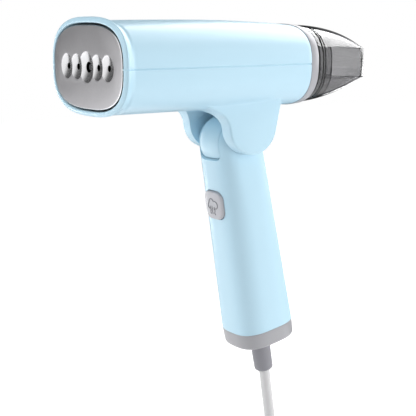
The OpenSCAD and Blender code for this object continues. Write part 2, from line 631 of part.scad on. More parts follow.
module bottom_cap() color("darkgray") handle() difference() {
    union() {
        // tapered cap with a rounded lower edge
        loft([for (s = [[0, 0], [-8.6, 0.42], [-9.9, 0.75], [-10.7, 1.45], [-11, 2.3]])
            [for (p = outline(grip_a - s[1], grip_b - s[1], 3, 60)) [p[0], p[1], foot_z + s[0]]]]);
        // neck that plugs into the handle
        loft([for (z = [6, -1])
            [for (p = outline(grip_a - wall - 0.35, grip_b - wall - 0.35, 3, 60)) [p[0], p[1], foot_z + z]]]);
    }
    translate([0, 0, foot_z - 6.5]) linear_extrude(20) rounded(26, 30, 8);
    translate([0, 0, foot_z - 20]) cylinder(r = 6.85, h = 30);
}

module strain_relief() color("gray") handle() difference() {
    union() {
        translate([0, 0, foot_z - 6.5]) cylinder(r = 9, h = 3);
        rotate_extrude() polygon(concat(
            [[0, foot_z - 6], [6.8, foot_z - 6], [6.8, foot_z - cap_h - 0.5], [6.6, foot_z - cap_h - 1],
             [6.35, grip_up - relief_end + 2.2]],
            arc([4.35, grip_up - relief_end + 2], 2, 0, -90, 6), [[0, grip_up - relief_end]]));
    }
    translate([0, 0, grip_up - relief_end - 1]) cylinder(d = cord_d + 0.04, h = 40);
}

module cord_clamp() color("whitesmoke") handle() difference() {
    translate([-10, -8, foot_z - 3.4]) cube([20, 16, 6]);
    translate([0, 0, foot_z - 10]) cylinder(d = cord_d + 0.1, h = 20);
    for (x = [-7, 7]) translate([x, 0, foot_z]) rotate([90, 0, 0]) cylinder(r = 1.55, h = 20, center = true);
}

module clamp_screws() color("slategray") handle() for (x = [-7, 7])
    translate([x, -7, foot_z]) rotate([-90, 0, 0]) {
        cylinder(r = 1.5, h = 15);
        translate([0, 0, 15.05]) cylinder(r = 2.8, h = 1.8);
    }

// ---------- cord ----------

module cord_tube() color("white") tube(cord_route, cord_d, 12);

module cord_core() color("white") handle()
    translate([0, 0, grip_up - relief_end + 3.4]) cylinder(d = cord_d, h = 22);

module cord_hank() color("white")
    translate([hank_x0 - cord_d / 2, hank_y, hank_z]) rotate([90, 0, 90])
        linear_extrude(hank_turns * hank_pitch + cord_d) {
            square([2 * hank_r + cord_d, hank_run], center = true);
            for (s = [-1, 1]) translate([0, s * hank_run / 2]) circle(hank_r + cord_d / 2, $fn = 60);
        }

module cord_tie() color("dimgray")
    translate([hank_x0 + hank_turns * hank_pitch / 2, hank_y, hank_z - 22]) difference() {
        linear_extrude(14) rounded(hank_turns * hank_pitch + cord_d + 3.6, 2 * hank_r + cord_d + 3.6, 5);
        translate([0, 0, -1]) linear_extrude(16)
            square([hank_turns * hank_pitch + cord_d + 0.04, 2 * hank_r + cord_d + 0.04], center = true);
    }

module cord_tail() color("white") tube(tail_route, cord_d, 12);

module plug_body() color("white") translate([tail_x, hank_y, plug_top]) difference() {
    union() {
        translate([0, 0, -14]) cylinder(r1 = 6.6, r2 = 5, h = 14);
        loft([for (s = [[-12, 6, 6, 2], [-17, 7.4, 10, 2.2], [-24, 7.8, 15, 2.4], [-34, 7.8, 17.6, 2.5], [-44, 7.8, 17.6, 2.5]])
            [for (p = outline(s[1], s[2], s[3], 40)) [p[0], p[1], s[0]]]]);
    }
    for (y = [-9.5, 9.5]) translate([0, y, -46]) cylinder(r = 2.22, h = 12.1);
}

module plug_pins() color("silver") translate([tail_x, hank_y, plug_top - 44]) for (y = [-9.5, 9.5])
    translate([0, y, -18]) {
        cylinder(r = 2.4, h = 18);
        translate([0, 0, 17.9]) cylinder(r = 2.2, h = 10.1);
        translate([0, 0, -1]) cylinder(r1 = 1.4, r2 = 2.4, h = 1);
    }

handle_shell();
knuckle_cover();
hinge_bushes();
microswitch();
control_board();
board_relay();
board_capacitor();
board_triac();
board_rails();
board_screws();
bottom_cap();
strain_relief();
cord_clamp();
clamp_screws();
cord_core();
cord_tube();
cord_hank();
cord_tie();
cord_tail();
plug_body();
plug_pins();
upper_shell();
lower_shell();
hinge_pin_left();
hinge_pin_right();
steam_plate();
steam_pin();
plate_gasket();
boiler();
boiler_cover();
cover_screws();
heating_rods();
thermostat();
thermal_fuse();
pump();
pump_frame();
pump_mounts();
water_tube();
tank_socket();
socket_nozzle();
nozzle_ring();
tank_collar();
steam_button();
tank_body();
tank_seal();
tank_valve();
filler_plug();
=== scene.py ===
"""Folding garment steamer: finished surfaces, materials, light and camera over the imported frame.

Shapes are worked out in millimetres in the head's or the handle's own axes, then put in the frame in metres.
"""

import json
import math
from types import SimpleNamespace

import bmesh
import bpy
import numpy as np
from bpy.props import FloatProperty, FloatVectorProperty, PointerProperty
from bpy.types import Operator, Panel, PropertyGroup
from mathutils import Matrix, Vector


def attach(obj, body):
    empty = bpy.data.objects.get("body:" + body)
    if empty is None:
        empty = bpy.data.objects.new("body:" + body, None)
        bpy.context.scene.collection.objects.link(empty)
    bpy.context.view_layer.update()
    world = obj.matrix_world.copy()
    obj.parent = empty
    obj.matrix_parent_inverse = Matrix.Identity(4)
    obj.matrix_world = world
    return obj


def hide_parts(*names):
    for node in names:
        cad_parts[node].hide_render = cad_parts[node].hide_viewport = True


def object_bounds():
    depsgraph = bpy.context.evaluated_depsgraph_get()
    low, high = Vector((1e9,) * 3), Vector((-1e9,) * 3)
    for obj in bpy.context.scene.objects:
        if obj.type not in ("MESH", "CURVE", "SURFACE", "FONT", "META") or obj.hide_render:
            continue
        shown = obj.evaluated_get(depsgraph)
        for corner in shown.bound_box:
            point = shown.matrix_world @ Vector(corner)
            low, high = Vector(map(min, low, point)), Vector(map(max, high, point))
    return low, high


bl_info = {
    "name": "Garment steamer",
    "version": (1, 0, 0),
    "blender": (4, 5, 0),
    "location": "3D View > Sidebar > Steamer",
    "description": "Builds the finished look of a folding garment steamer on its frame",
    "category": "Object",
}

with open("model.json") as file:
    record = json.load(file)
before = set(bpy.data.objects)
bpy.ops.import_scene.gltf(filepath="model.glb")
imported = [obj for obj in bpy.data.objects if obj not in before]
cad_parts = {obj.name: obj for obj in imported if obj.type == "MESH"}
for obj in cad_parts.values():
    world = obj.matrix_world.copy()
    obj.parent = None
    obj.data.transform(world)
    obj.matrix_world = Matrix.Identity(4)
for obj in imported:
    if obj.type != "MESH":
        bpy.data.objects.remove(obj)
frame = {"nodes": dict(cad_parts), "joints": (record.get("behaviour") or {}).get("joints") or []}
CAD_BOX = [list(corner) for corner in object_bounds()]
NODES = frame["nodes"]
MM = 0.001
HINGE = np.array(next(j["pos_m"] for j in frame["joints"] if j["name"] == "fold"))
LEAN = math.atan2(-HINGE[1], HINGE[2])
GRIP_UP = float(np.hypot(HINGE[1], HINGE[2])) / MM
HINGE_IN_HEAD = np.array([0, 102.5, -50])
HEAD_AT = HINGE - HINGE_IN_HEAD * MM


# ---------- sizes and colours ----------


def length(name, millimetres, text):
    return FloatProperty(
        name=name, description=text, default=millimetres * MM, min=0, unit="LENGTH", subtype="DISTANCE"
    )


def linear(*rgb):
    """Screen tones from 0 to 255 as linear light."""
    v = np.array(rgb, float) / 255
    return tuple(np.where(v <= 0.04045, v / 12.92, ((v + 0.055) / 1.055) ** 2.4))


def colour(name, rgb, text):
    return FloatVectorProperty(
        name=name, description=text, default=linear(*rgb), size=3, min=0, max=1, subtype="COLOR"
    )


class HeadSizes(PropertyGroup):
    front_half_width: length("Front half-width", 45.5, "Half-width of the body behind the soleplate")
    rear_half_width: length("Rear half-width", 35.2, "Half-width of the body at its rear end")
    crown: length("Crown", 27, "Height of the body above the seam")
    keel: length("Keel", 27.8, "Depth of the body below the seam")
    body: length("Body length", 141, "Length of the coloured body behind the front face")
    wall: length("Shell wall", 2.4, "Wall of the head's shells")
    seam_depth: length("Seam depth", 0.55, "Depth of the groove where the two shells meet")
    seam_half: length("Seam half-width", 0.45, "Half-width of that groove")
    plate_half_width: length("Soleplate half-width", 43.2, "Half-width of the soleplate's seat")
    plate_half_height: length("Soleplate half-height", 24.9, "Half-height of the soleplate's seat")
    plate_gap: length("Soleplate gap", 0.45, "Gap between the soleplate and its seat")
    dish_pitch: length("Dish pitch", 12.9, "Spacing of the steam dishes")
    dish_width: length("Dish width", 15.4, "Width across an outer dish")
    dish_depth: length("Dish depth", 1.4, "Depth of an outer dish")
    steam_hole: length("Steam hole", 3.75, "Diameter of an outer steam hole")
    middle_dish_width: length("Middle dish width", 18.6, "Width across the middle dish")
    middle_dish_depth: length("Middle dish depth", 1.8, "Depth of the middle dish")
    middle_steam_hole: length("Middle steam hole", 6.5, "Diameter of the middle steam hole")
    ear_out: length("Ear outside", 27.7, "From the middle to the outside of a hinge ear")
    ear_in: length("Ear inside", 18.5, "From the middle to the inside of a hinge ear")
    ear_edge: length("Ear edge", 1.3, "Radius along a hinge ear's edge")
    ear_fillet: length("Ear fillet", 2.8, "Largest radius where an ear grows out of the body")


class HandleSizes(PropertyGroup):
    half_width: length("Foot half-width", 19.8, "Half-width of the handle at its foot")
    half_depth: length("Foot half-depth", 22, "Half-depth of the handle at its foot")
    top_half_depth: length("Knuckle radius", 17.8, "Radius of the knuckle")
    flat: length("Knuckle flat", 18.15, "From the middle to the flat sides of the knuckle")
    down: length("Length", 127.1, "From the hinge down to the foot cap")
    wall: length("Wall", 2.4, "Wall of the handle")
    cover_half_width: length("Cover half-width", 10.7, "Half-width of the knuckle's cover")
    cover_gap: length("Cover gap", 0.35, "Gap beside the knuckle's cover")
    button: length("Button side", 18.6, "Side of the steam button")
    button_gap: length("Button gap", 0.4, "Gap round the steam button")
    button_proud: length("Button stands out", 1.7, "How far the button stands out of the handle")
    button_down: length("Button place", 37.7, "From the hinge down to the button's middle")
    cap: length("Foot cap", 11.5, "Height of the foot cap")
    relief_down: length("Cord exit", 155.6, "From the hinge down to where the cord leaves the relief's core")
    relief_nose: length("Strain relief nose", 6.4, "How far the strain relief runs on down the cord")


class TankSizes(PropertyGroup):
    start: length("Start", 147.5, "From the front face to the clear tank")
    length: length("Length", 40.5, "Length of the clear tank")
    end_half_width: length("End half-width", 29.5, "Half-width of the flat end")
    wall: length("Wall", 1.8, "Wall of the tank")
    end_plate: length("End plate", 2.7, "Thickness of the plate that closes the tank's end")
    end_proud: length("End plate stands out", 1.5, "How far the end plate stands out of the tank's walls")
    collar: length("Collar", 6.2, "Width of the grey collar")
    neck_half_width: length("Neck half-width", 28.6, "Half-width of the neck")
    neck_half_height: length("Neck half-height", 19.4, "Half-height of the neck")


class CordSizes(PropertyGroup):
    diameter: length("Diameter", 7.5, "Diameter of the mains cord")
    whole: length("Length", 2000, "Whole length of the mains cord")
    bend: length("Hank bend", 23, "Radius of the hank's folds")
    run: length("Hank run", 120, "Straight run of the hank")
    pitch: length("Hank pitch", 7.6, "From one turn of the hank to the next")


class Colours(PropertyGroup):
    shell: colour("Shell blue", (186, 219, 235), "Moulded body, ears and handle")
    grey: colour("Grey mouldings", (160, 160, 164), "Foot cap and tank socket")
    collar: colour("Collar grey", (168, 168, 173), "Collar in front of the tank")
    button: colour("Button grey", (182, 182, 187), "Steam button")
    plate: colour("Soleplate metal", (226, 225, 228), "Satin face of the soleplate")
    dish: colour("Dish metal", (236, 236, 238), "Polished dishes of the soleplate")
    # painted shade: this dark tone is painted into the steam holes and down the soleplate's edge, where shade
    # falls
    bore: colour("Steam hole metal", (74, 74, 77), "Drilled walls of the steam holes")
    tank: colour("Smoky tank", (240, 240, 241), "Clear smoky plastic of the tank")
    cord: colour("Cord white", (206, 206, 207), "Sheath of the cord and the plug")
    floor: colour("Floor", (236, 236, 237), "Plain pale floor")


class StageSizes(PropertyGroup):
    floor_drop: length("Floor drop", 4, "From the object's lowest point to the floor")
    ambient: FloatProperty(name="Ambient", description="Strength of the even light", default=0.5, min=0)


def sizes(part):
    """The sizes of the head, the handle, the tank or the cord as plain numbers in millimetres."""
    group = getattr(bpy.context.scene, "steamer_" + part)
    return SimpleNamespace(**{key: getattr(group, key) / MM for key in group.__annotations__})


def tone_of(part):
    return tuple(getattr(bpy.context.scene.steamer_colours, part))


# ---------- numbers ----------


def lerp(a, b, u):
    return a + (b - a) * u


def ease(u):
    v = np.clip(u, 0, 1)
    return v * v * (3 - 2 * v)


def signed_power(v, power):
    return np.sign(v) * np.abs(v) ** power


def quarter(n):
    """n angles from 0 up to a right angle."""
    return np.radians(np.linspace(0, 90, n))


def full_turn(n):
    """n angles spread evenly over a whole turn."""
    return np.linspace(0, 2 * math.pi, n, endpoint=False)


def smooth(points, steps):
    """Points joined by a smooth line. Between two points each value follows a cubic whose end slopes are
    the neighbouring chords' slopes, weighted by nearness; steps new points to each chord."""
    p = np.asarray(points, float)
    d = np.linalg.norm(np.diff(p, axis=0), axis=1)[:, None]
    slope = np.diff(p, axis=0) / d
    m = np.vstack([slope[:1], (slope[:-1] * d[1:] + slope[1:] * d[:-1]) / (d[:-1] + d[1:]), slope[-1:]])
    s = (np.arange(steps) / steps)[None, :, None]
    a, b, ma, mb, d = p[:-1, None], p[1:, None], m[:-1, None], m[1:, None], d[:, None]
    line = (
        a * (2 * s**3 - 3 * s**2 + 1) + d * ma * (s**3 - 2 * s**2 + s)
        + b * (3 * s**2 - 2 * s**3) + d * mb * (s**3 - s**2)
    )
    return np.vstack([line.reshape(-1, p.shape[1]), p[-1:]])


def evenly(points, spacing):
    """A line of points cut again at equal distances along it."""
    along = np.concatenate([[0], np.cumsum(np.linalg.norm(np.diff(points, axis=0), axis=1))])
    s = np.linspace(0, along[-1], max(int(round(along[-1] / spacing)), 2) + 1)
    return np.stack([np.interp(s, along, points[:, k]) for k in range(points.shape[1])], axis=1)


def arc(centre, r, t0, t1, n):
    """n + 1 points of a circle from t0 to t1 degrees."""
    t = np.radians(np.linspace(t0, t1, n + 1))
    return np.stack([centre[0] + r * np.cos(t), centre[1] + r * np.sin(t)], axis=1)


def circle(centre, r, n=96):
    return arc(centre, r, 0, 360, n)[:-1]


def oval(a, h, n, phi):
    """Superellipse of half-sizes a and h at polar angles phi: the distance from the middle is
    (|cos phi / a|^n + |sin phi / h|^n)^(-1/n)."""
    r = (np.abs(np.cos(phi) / a) ** n + np.abs(np.sin(phi) / h) ** n) ** (-1 / n)
    return r * np.cos(phi), r * np.sin(phi)


def oval_grid(rows, phi):
    """Rows of [station, half-width, half-height, squareness] as grids of u, station and v."""
    station, a, h, n = np.asarray(rows, float).T[:, :, None]
    u, v = oval(a, h, n, phi)
    return u, np.repeat(station, len(phi), axis=1), v


def rounded_square(w, r, phi):
    """Square of side w with corners of radius r, at polar angles phi: the nearer of the flat side and the
    corner's circle along each ray."""
    c, s = np.abs(np.cos(phi)), np.abs(np.sin(phi))
    q = w / 2 - r
    flat = (w / 2) / np.maximum(c, s)
    along = q * (c + s)
    round_ = along + np.sqrt(np.maximum(along**2 - 2 * q**2 + r**2, 0))
    d = np.where(flat * np.minimum(c, s) > q, round_, flat)
    return d * np.cos(phi), d * np.sin(phi)


def ring_at(station, outline, along="y"):
    """A ring of points: the outline's u and v, and their station along the third axis."""
    u, v = outline
    s = np.broadcast_to(station, np.shape(u))
    return np.stack({"x": [s, u, v], "y": [u, s, v], "z": [u, v, s]}[along], axis=1)


def revolved(profile, n, along, middle=(0, 0, 0)):
    """Rings of a solid of revolution: each profile point is (radius, station) about a line along y or z."""
    t = full_turn(n)
    return [ring_at(s, (r * np.cos(t), r * np.sin(t)), along) + middle for r, s in profile]


def in_frame(points):
    """Millimetres of the frame itself, in metres."""
    return np.asarray(points) * MM


def in_head(points):
    """The head's millimetres put in the frame, in metres."""
    return np.asarray(points, float) * MM + HEAD_AT


def in_handle(points):
    """The handle's millimetres, its axis straight up, leaned back and put in the frame, in metres."""
    x, y, z = np.moveaxis(np.asarray(points, float) * MM, -1, 0)
    c, s = math.cos(LEAN), math.sin(LEAN)
    return np.stack([x, y * c - z * s, y * s + z * c], axis=-1)


# ---------- meshes ----------


def sheet(rows, cols, wrap_rows=False, wrap_cols=False, first=0):
    """Quads between the points of a grid, row by row; wrap joins the last row or column to the first."""
    i = np.arange(rows - (not wrap_rows))[:, None]
    j = np.arange(cols - (not wrap_cols))[None, :]
    k, near = (i + 1) % rows, (j + 1) % cols
    quads = np.stack([i * cols + j, i * cols + near, k * cols + near, k * cols + j], axis=-1)
    return quads.reshape(-1, 4) + first


def finished(name, points, faces, sharp=None):
    """Object of these points and faces, doubles merged and every face turned outwards."""
    mesh = bpy.data.meshes.new(name)
    mesh.from_pydata(np.asarray(points).reshape(-1, 3), [], [list(map(int, f)) for f in faces])
    bm = bmesh.new()
    bm.from_mesh(mesh)
    bmesh.ops.remove_doubles(bm, verts=bm.verts, dist=1e-7)
    bmesh.ops.recalc_face_normals(bm, faces=bm.faces)
    bm.to_mesh(mesh)
    bm.free()
    piece = bpy.data.objects.new(name, mesh)
    bpy.context.scene.collection.objects.link(piece)
    return shaded(piece, sharp) if sharp else piece


def shaded(piece, sharp):
    """Edges that turn by more than sharp degrees stay crisp and the rest shade smooth."""
    piece.data.shade_smooth()
    piece.data.set_sharp_from_angle(angle=math.radians(sharp))
    return piece


def tube_faces(rows, cols, first=0):
    """Quads of rings in a row, each ring closed, with a flat face at each end."""
    ends = [first + np.arange(cols), first + (rows - 1) * cols + np.arange(cols)]
    return list(sheet(rows, cols, wrap_cols=True, first=first)) + ends


def lofted(name, rings, place=in_head, sharp=None):
    """Closed solid through rings of points, with a flat face at each end."""
    rings = np.asarray(rings, float)
    return finished(name, place(rings), tube_faces(*rings.shape[:2]), sharp)


def ring_solid(name, rings, place=in_head, sharp=None):
    """Closed solid whose last ring joins its first, as a washer's does."""
    rings = np.asarray(rings, float)
    return finished(name, place(rings), sheet(*rings.shape[:2], True, True), sharp)


def walled(outside, inside, wrap):
    """Points and faces of a wall between two grids of equal counts. Two open sheets are joined along their
    whole border, and two tubes, whose rows wrap, along their first ring, because each is shut at its last."""
    m, n = outside.shape[:2]
    points = np.concatenate([outside.reshape(-1, 3), inside.reshape(-1, 3)])
    row, col = np.arange(n), np.arange(m) * n
    if wrap:
        b = np.append(row, 0)
    else:
        b = np.concatenate([row, col[1:] + n - 1, row[-2::-1] + (m - 1) * n, col[-2::-1]])
    rim = np.stack([b[:-1], b[1:], b[1:] + m * n, b[:-1] + m * n], axis=1)
    skin, lining = (sheet(m, n, wrap_cols=wrap, first=first) for first in (0, m * n))
    return points, np.concatenate([skin, lining, rim])


def joined(piece, tool, how):
    """Adds a tool to the piece or cuts it out of the piece, and uses it up."""
    step = piece.modifiers.new(how, "BOOLEAN")
    step.operation, step.solver, step.object = how, "MANIFOLD", tool
    depsgraph = bpy.context.evaluated_depsgraph_get()
    made = bpy.data.meshes.new_from_object(piece.evaluated_get(depsgraph))
    if len(made.polygons) in (0, len(piece.data.polygons)):
        raise RuntimeError(f"{how} of {tool.name} changed nothing of {piece.name}: one of them isn't closed")
    piece.modifiers.clear()
    old, piece.data = piece.data, made
    bpy.data.meshes.remove(old)
    bpy.data.objects.remove(tool)


def cut(piece, *tools):
    for tool in tools:
        joined(piece, tool, "DIFFERENCE")


def added(piece, *tools):
    for tool in tools:
        joined(piece, tool, "UNION")


def prism(name, outline, low, high, across="y", place=in_head):
    """Flat outline carried straight from low to high along x or y."""
    outline = np.asarray(outline, float).T
    return lofted(name, [ring_at(s, outline, across) for s in (low, high)], place)


def box_solid(name, low, high):
    x, y, z = np.array([low, high], float).T
    return lofted(name, [[[x[0], y[0], h], [x[1], y[0], h], [x[1], y[1], h], [x[0], y[1], h]] for h in z])


def dress(piece, material, body, slot, *replaces):
    """Gives a piece its material and its body, and hides the frame nodes that it stands for. The slot is not
    used.
    """
    piece.data.materials.clear()
    piece.data.materials.append(material)
    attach(piece, body)
    if replaces:
        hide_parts(*replaces)
    return piece


def repaint(material, *nodes):
    for node in nodes:
        mesh = NODES[node].data
        mesh.materials.clear()
        mesh.materials.append(material)


# ---------- materials ----------


def maths(operation, swapped=False):
    """A method that adds the Math node of this operation on its own Link and on any other value."""

    def method(link, *other):
        values = (*other, link) if swapped else (link, *other)
        return link.recipe.node("ShaderNodeMath", {"operation": operation}, dict(enumerate(values)))

    return method


class Link:
    """One output of a material's nodes. A Python sum on it adds the Math node for that sum."""

    def __init__(self, recipe, socket):
        self.recipe, self.socket = recipe, socket

    __add__ = __radd__ = maths("ADD")
    __mul__ = __rmul__ = maths("MULTIPLY")
    __sub__, __rsub__ = maths("SUBTRACT"), maths("SUBTRACT", swapped=True)
    __truediv__, __rtruediv__ = maths("DIVIDE"), maths("DIVIDE", swapped=True)
    __gt__, __lt__ = maths("GREATER_THAN"), maths("LESS_THAN")
    __abs__ = maths("ABSOLUTE")

    def between(self, low, high):
        """0 below low, 1 above high, a smooth step from one to the other."""
        inputs = {"Value": self, "From Min": low, "From Max": high}
        return self.recipe.node("ShaderNodeMapRange", {"interpolation_type": "SMOOTHSTEP"}, inputs)


class Recipe:
    """The nodes of one material or of the world."""

    def __init__(self, owner):
        owner.use_nodes = True
        self.tree = owner.node_tree
        self.tree.nodes.clear()

    def node(self, kind, settings=(), inputs=(), out=0):
        """Adds a node of this type: its settings first, then its inputs, each a value or a Link, by name,
        identifier or place. Returns the Link of one output."""
        made = self.tree.nodes.new(kind)
        for key, value in dict(settings).items():
            setattr(made, key, value)
        for key, value in dict(inputs).items():
            socket = self.find(made.inputs, key)
            if isinstance(value, Link):
                self.tree.links.new(value.socket, socket)
            elif socket.type == "RGBA" and len(value) == 3:
                socket.default_value = (*value, 1)
            else:
                socket.default_value = value
        return Link(self, self.find(made.outputs, out)) if made.outputs else None

    @staticmethod
    def find(sockets, key):
        if isinstance(key, int):
            return sockets[key]
        return next((s for s in sockets if s.identifier == key), None) or sockets[key]

    def place(self):
        return self.node("ShaderNodeTexCoord", out="Object")

    def axes(self):
        made = self.node("ShaderNodeSeparateXYZ", inputs={0: self.place()})
        return [Link(self, made.socket.node.outputs[k]) for k in range(3)]

    def noise(self, scale, detail=2.0, stretch=None):
        vector = self.place()
        if stretch:
            vector = self.node("ShaderNodeMapping", inputs={"Vector": vector, "Scale": stretch})
        return self.node("ShaderNodeTexNoise", inputs={"Vector": vector, "Scale": scale, "Detail": detail})

    def mix(self, factor, a, b):
        inputs = {"Factor_Float": factor, "A_Color": a, "B_Color": b}
        return self.node("ShaderNodeMix", {"data_type": "RGBA"}, inputs, "Result_Color")

    def bump(self, height, distance, strength=1.0):
        inputs = {"Height": height, "Distance": distance, "Strength": strength}
        return self.node("ShaderNodeBump", inputs=inputs)

    def shades(self, factor, tone, low, high):
        """The tone, from low to high times its strength as the factor goes from 0 to 1."""
        return self.mix(factor, *(tuple(min(c * k, 1) for c in tone) for k in (low, high)))

    def about(self, value, swing, scale, detail):
        """A value that wanders over the surface, by swing in all."""
        return value + (self.noise(scale, detail) - 0.5) * swing


def material(name, make, absorbs=None):
    """The material of that name, made once by a function of its recipe that returns the shader's inputs.
    With absorbs, a tint and a density per metre, light also fades with its way through the piece."""
    known = bpy.data.materials.get(name)
    if known:
        return known
    owner = bpy.data.materials.new(name)
    recipe = Recipe(owner)
    ends = {"Surface": recipe.node("ShaderNodeBsdfPrincipled", inputs=make(recipe))}
    if absorbs:
        tint, density = absorbs
        ends["Volume"] = recipe.node("ShaderNodeVolumeAbsorption", inputs={"Color": tint, "Density": density})
    recipe.node("ShaderNodeOutputMaterial", inputs=ends)
    return owner


def moulded(name, tone, roughness=0.34, grain=0.00002, grain_scale=1800, mottle=0.03):
    """Moulded plastic: a faint slow drift of tone and gloss, and a fine even grain from the mould."""

    def make(r):
        drift, flecks = r.noise(28, 3), r.noise(420, 2)
        return {
            "Base Color": r.shades(drift * (1 - 0.35 * flecks), tone, 1 - mottle, 1 + mottle),
            "Roughness": r.about(roughness, 0.1, 160, 3),
            "Normal": r.bump(r.noise(grain_scale, 3), grain),
        }

    return material(name, make)


def shell_plastic():
    return moulded("satin_blue_plastic", tone_of("shell"), 0.33, 0.000012, 2200, 0.012)


def grey_plastic():
    return moulded("cap_grey", tone_of("grey"), 0.3, 0.00003, 1500)


def collar_plastic():
    return moulded("collar_plastic", tone_of("collar"), 0.3, 0.000015, 1900, 0.02)


def button_plastic():
    return moulded("button_plastic", tone_of("button"), 0.36, 0.00003, 1700, 0.02)


def black_plastic():
    return moulded("switch_black", linear(38, 38, 41), 0.45, 0.00004, 1300, 0.1)


def nylon():
    return moulded("white_nylon", linear(226, 226, 220), 0.5, 0.00003, 1200)


def rubber(name, tone, roughness=0.62):
    return moulded(name, tone, roughness, 0.00005, 1300, 0.08)


def cord_plastic():
    """Soft sheath with a faint slow drift of tone."""
    tone = tone_of("cord")

    def make(r):
        return {
            "Base Color": r.shades(r.noise(60, 3), tone, 0.96, 1.02),
            "Roughness": r.about(0.42, 0.12, 220, 2),
            "Normal": r.bump(r.noise(900, 3), 0.00003),
        }

    return material("cord_sheath", make)


def brushed(name, tone, roughness):
    """Metal with fine parallel draw lines: noise stretched along one axis."""

    def make(r):
        lines = r.noise(900, 3, stretch=(1, 1, 40))
        return {
            "Base Color": r.shades(lines, tone, 0.9, 1.06),
            "Metallic": 1.0,
            "Roughness": roughness + (lines - 0.5) * 0.15,
            "Normal": r.bump(lines, 0.00002),
        }

    return material(name, make)


def steel():
    return brushed("bright_steel", linear(178, 179, 183), 0.28)


def cast(name, tone):
    """Cast metal: coarse pitting over a slow mottle."""

    def make(r):
        pits = r.node("ShaderNodeTexVoronoi", inputs={"Vector": r.place(), "Scale": 900.0})
        return {
            "Base Color": r.shades(r.noise(120, 4), tone, 0.85, 1.08),
            "Metallic": 1.0,
            "Roughness": r.about(0.5, 0.2, 300, 3),
            "Normal": r.bump(pits, 0.00008, 0.6),
        }

    return material(name, make)


def plate_metal():
    """Satin soleplate with polished dishes: behind the face's plane the metal is brighter and smoother. Shade
    is
    painted into its colour: it is painted dark in the steam holes, which start deeper in the middle dish, and
    down its edge."""
    face, dish, bore = (tone_of(part) for part in ("plate", "dish", "bore"))
    polish_starts, polish_is_full = 0.00004, 0.00022
    # painted shade: the depth from which the steam holes are painted dark, deeper in the middle dish
    hole_shade_starts, middle_deeper, middle_half = 0.00133, 0.00027, 0.0049
    # painted shade: from what depth, and from how far out, the plate's edge is painted dark in its gap
    gap_shade_starts, gap_shade_x, gap_shade_z = 0.0004, 0.036 * 1.2, 0.02 * 1.2

    def make(r):
        x, y, z = r.axes()
        deep = y - float(HEAD_AT[1])
        polished = deep.between(polish_starts, polish_is_full)
        # painted shade: the steam holes are painted dark from that depth on
        painted_hole_shade = deep - (abs(x) < middle_half) * middle_deeper > hole_shade_starts
        # painted shade: the plate's edge, down in the gap round it, is painted dark as the gap's shadow
        edge = (deep > gap_shade_starts) * (abs(x) / gap_shade_x + abs(z - float(HEAD_AT[2])) / gap_shade_z > 1)
        satin = r.shades(r.noise(55, 4) * 0.6 + r.noise(500, 3) * 0.4, face, 0.9, 1.08)
        return {
            # painted shade: the holes and the plate's edge in its gap take the dark tone
            "Base Color": r.mix(painted_hole_shade + edge, r.mix(polished, satin, dish), bore),
            "Metallic": 1.0,
            "Roughness": lerp(r.about(0.36, 0.12, 900, 2), 0.22, polished),
            "Normal": r.bump((1 - polished) * r.noise(2600, 3), 0.00003),
        }

    return material("soleplate_metal", make)


def clear(name, tone, roughness, density):
    """Clear plastic with a smoky tint that deepens with the light's way through it."""

    def make(r):
        return {
            "Base Color": r.shades(r.noise(30, 2), tone, 0.97, 1),
            "Roughness": roughness + r.noise(90, 2) * 0.03,
            "IOR": 1.46,
            "Transmission Weight": 1.0,
        }

    return material(name, make, absorbs=((0.5, 0.5, 0.51), density))


def smoky_clear():
    return clear("smoky_clear_plastic", tone_of("tank"), 0.02, 880.0)


def clear_end():
    """The end plate's plastic, milkier and far less tinted than the wall's."""
    return clear("end_plate_plastic", linear(250, 250, 250), 0.1, 5.0)


def circuit_green():
    """Lacquered board: darker copper tracks under the green from a wide-meshed brick pattern."""

    def make(r):
        bricks = {"Vector": r.place(), "Scale": 130.0, "Mortar Size": 0.04}
        bricks.update({"Color1": (0, 0, 0), "Color2": (0.2, 0.2, 0.2), "Mortar": (1, 1, 1)})
        tracks = r.node("ShaderNodeTexBrick", inputs=bricks, out="Fac")
        return {
            "Base Color": r.mix(tracks, linear(24, 96, 52), linear(50, 130, 74)),
            "Roughness": r.about(0.35, 0.1, 300, 2),
            "Normal": r.bump(tracks, 0.00003),
        }

    return material("circuit_board", make)


# ---------- camera and stage ----------

CAMERA_AT = (0.5399, -0.3893, 0.1440)
CAMERA_TILT, CAMERA_TURN = math.radians(79.75), math.radians(56.34)
FLOOR_HALF = 4.0
LAMPS_AIM = (0.0, -0.02, 0.06)
LAMP_DISTANCE = 1.0
# a dark card on the -X side that gloss alone sees: its direction, where it fades in, and how dark it is
CARD_AT, CARD_FADE, CARD_DARK = (-0.9, 0.1, 0.42), (0.5, 0.78), 0.9
# softboxes round the object: azimuth, elevation, width, height, watts, if it shows in gloss, if it lights
SOFTBOXES = {
    "front_low": (-44, -12, 0.4, 0.4, 2.7, False, True),
    "front": (-20, 12, 0.4, 0.4, 1.3, False, True),
    "front_high": (-20, 40, 0.4, 0.4, 2.5, False, True),
    "side": (90, 12, 0.4, 0.4, 1.7, True, True),
    "side_low": (135, -12, 0.4, 0.4, 2.9, False, True),
    "rear": (160, 12, 0.4, 0.4, 2.4, True, True),
    "rear_high": (160, 40, 0.4, 0.4, 1.8, False, True),
    "far_high": (200, 40, 0.4, 0.4, 2.4, False, True),
    "left_strip": (-79, -8, 0.14, 0.6, 2.0, True, False),
    "far_sheen": (197, 42, 1.1, 0.6, 10.0, True, False),
    "rear_strip": (214, -8, 0.1, 0.6, 0.8, True, False),
    "tank_sheen": (188, 50, 1.4, 0.55, 23.0, True, False),
}


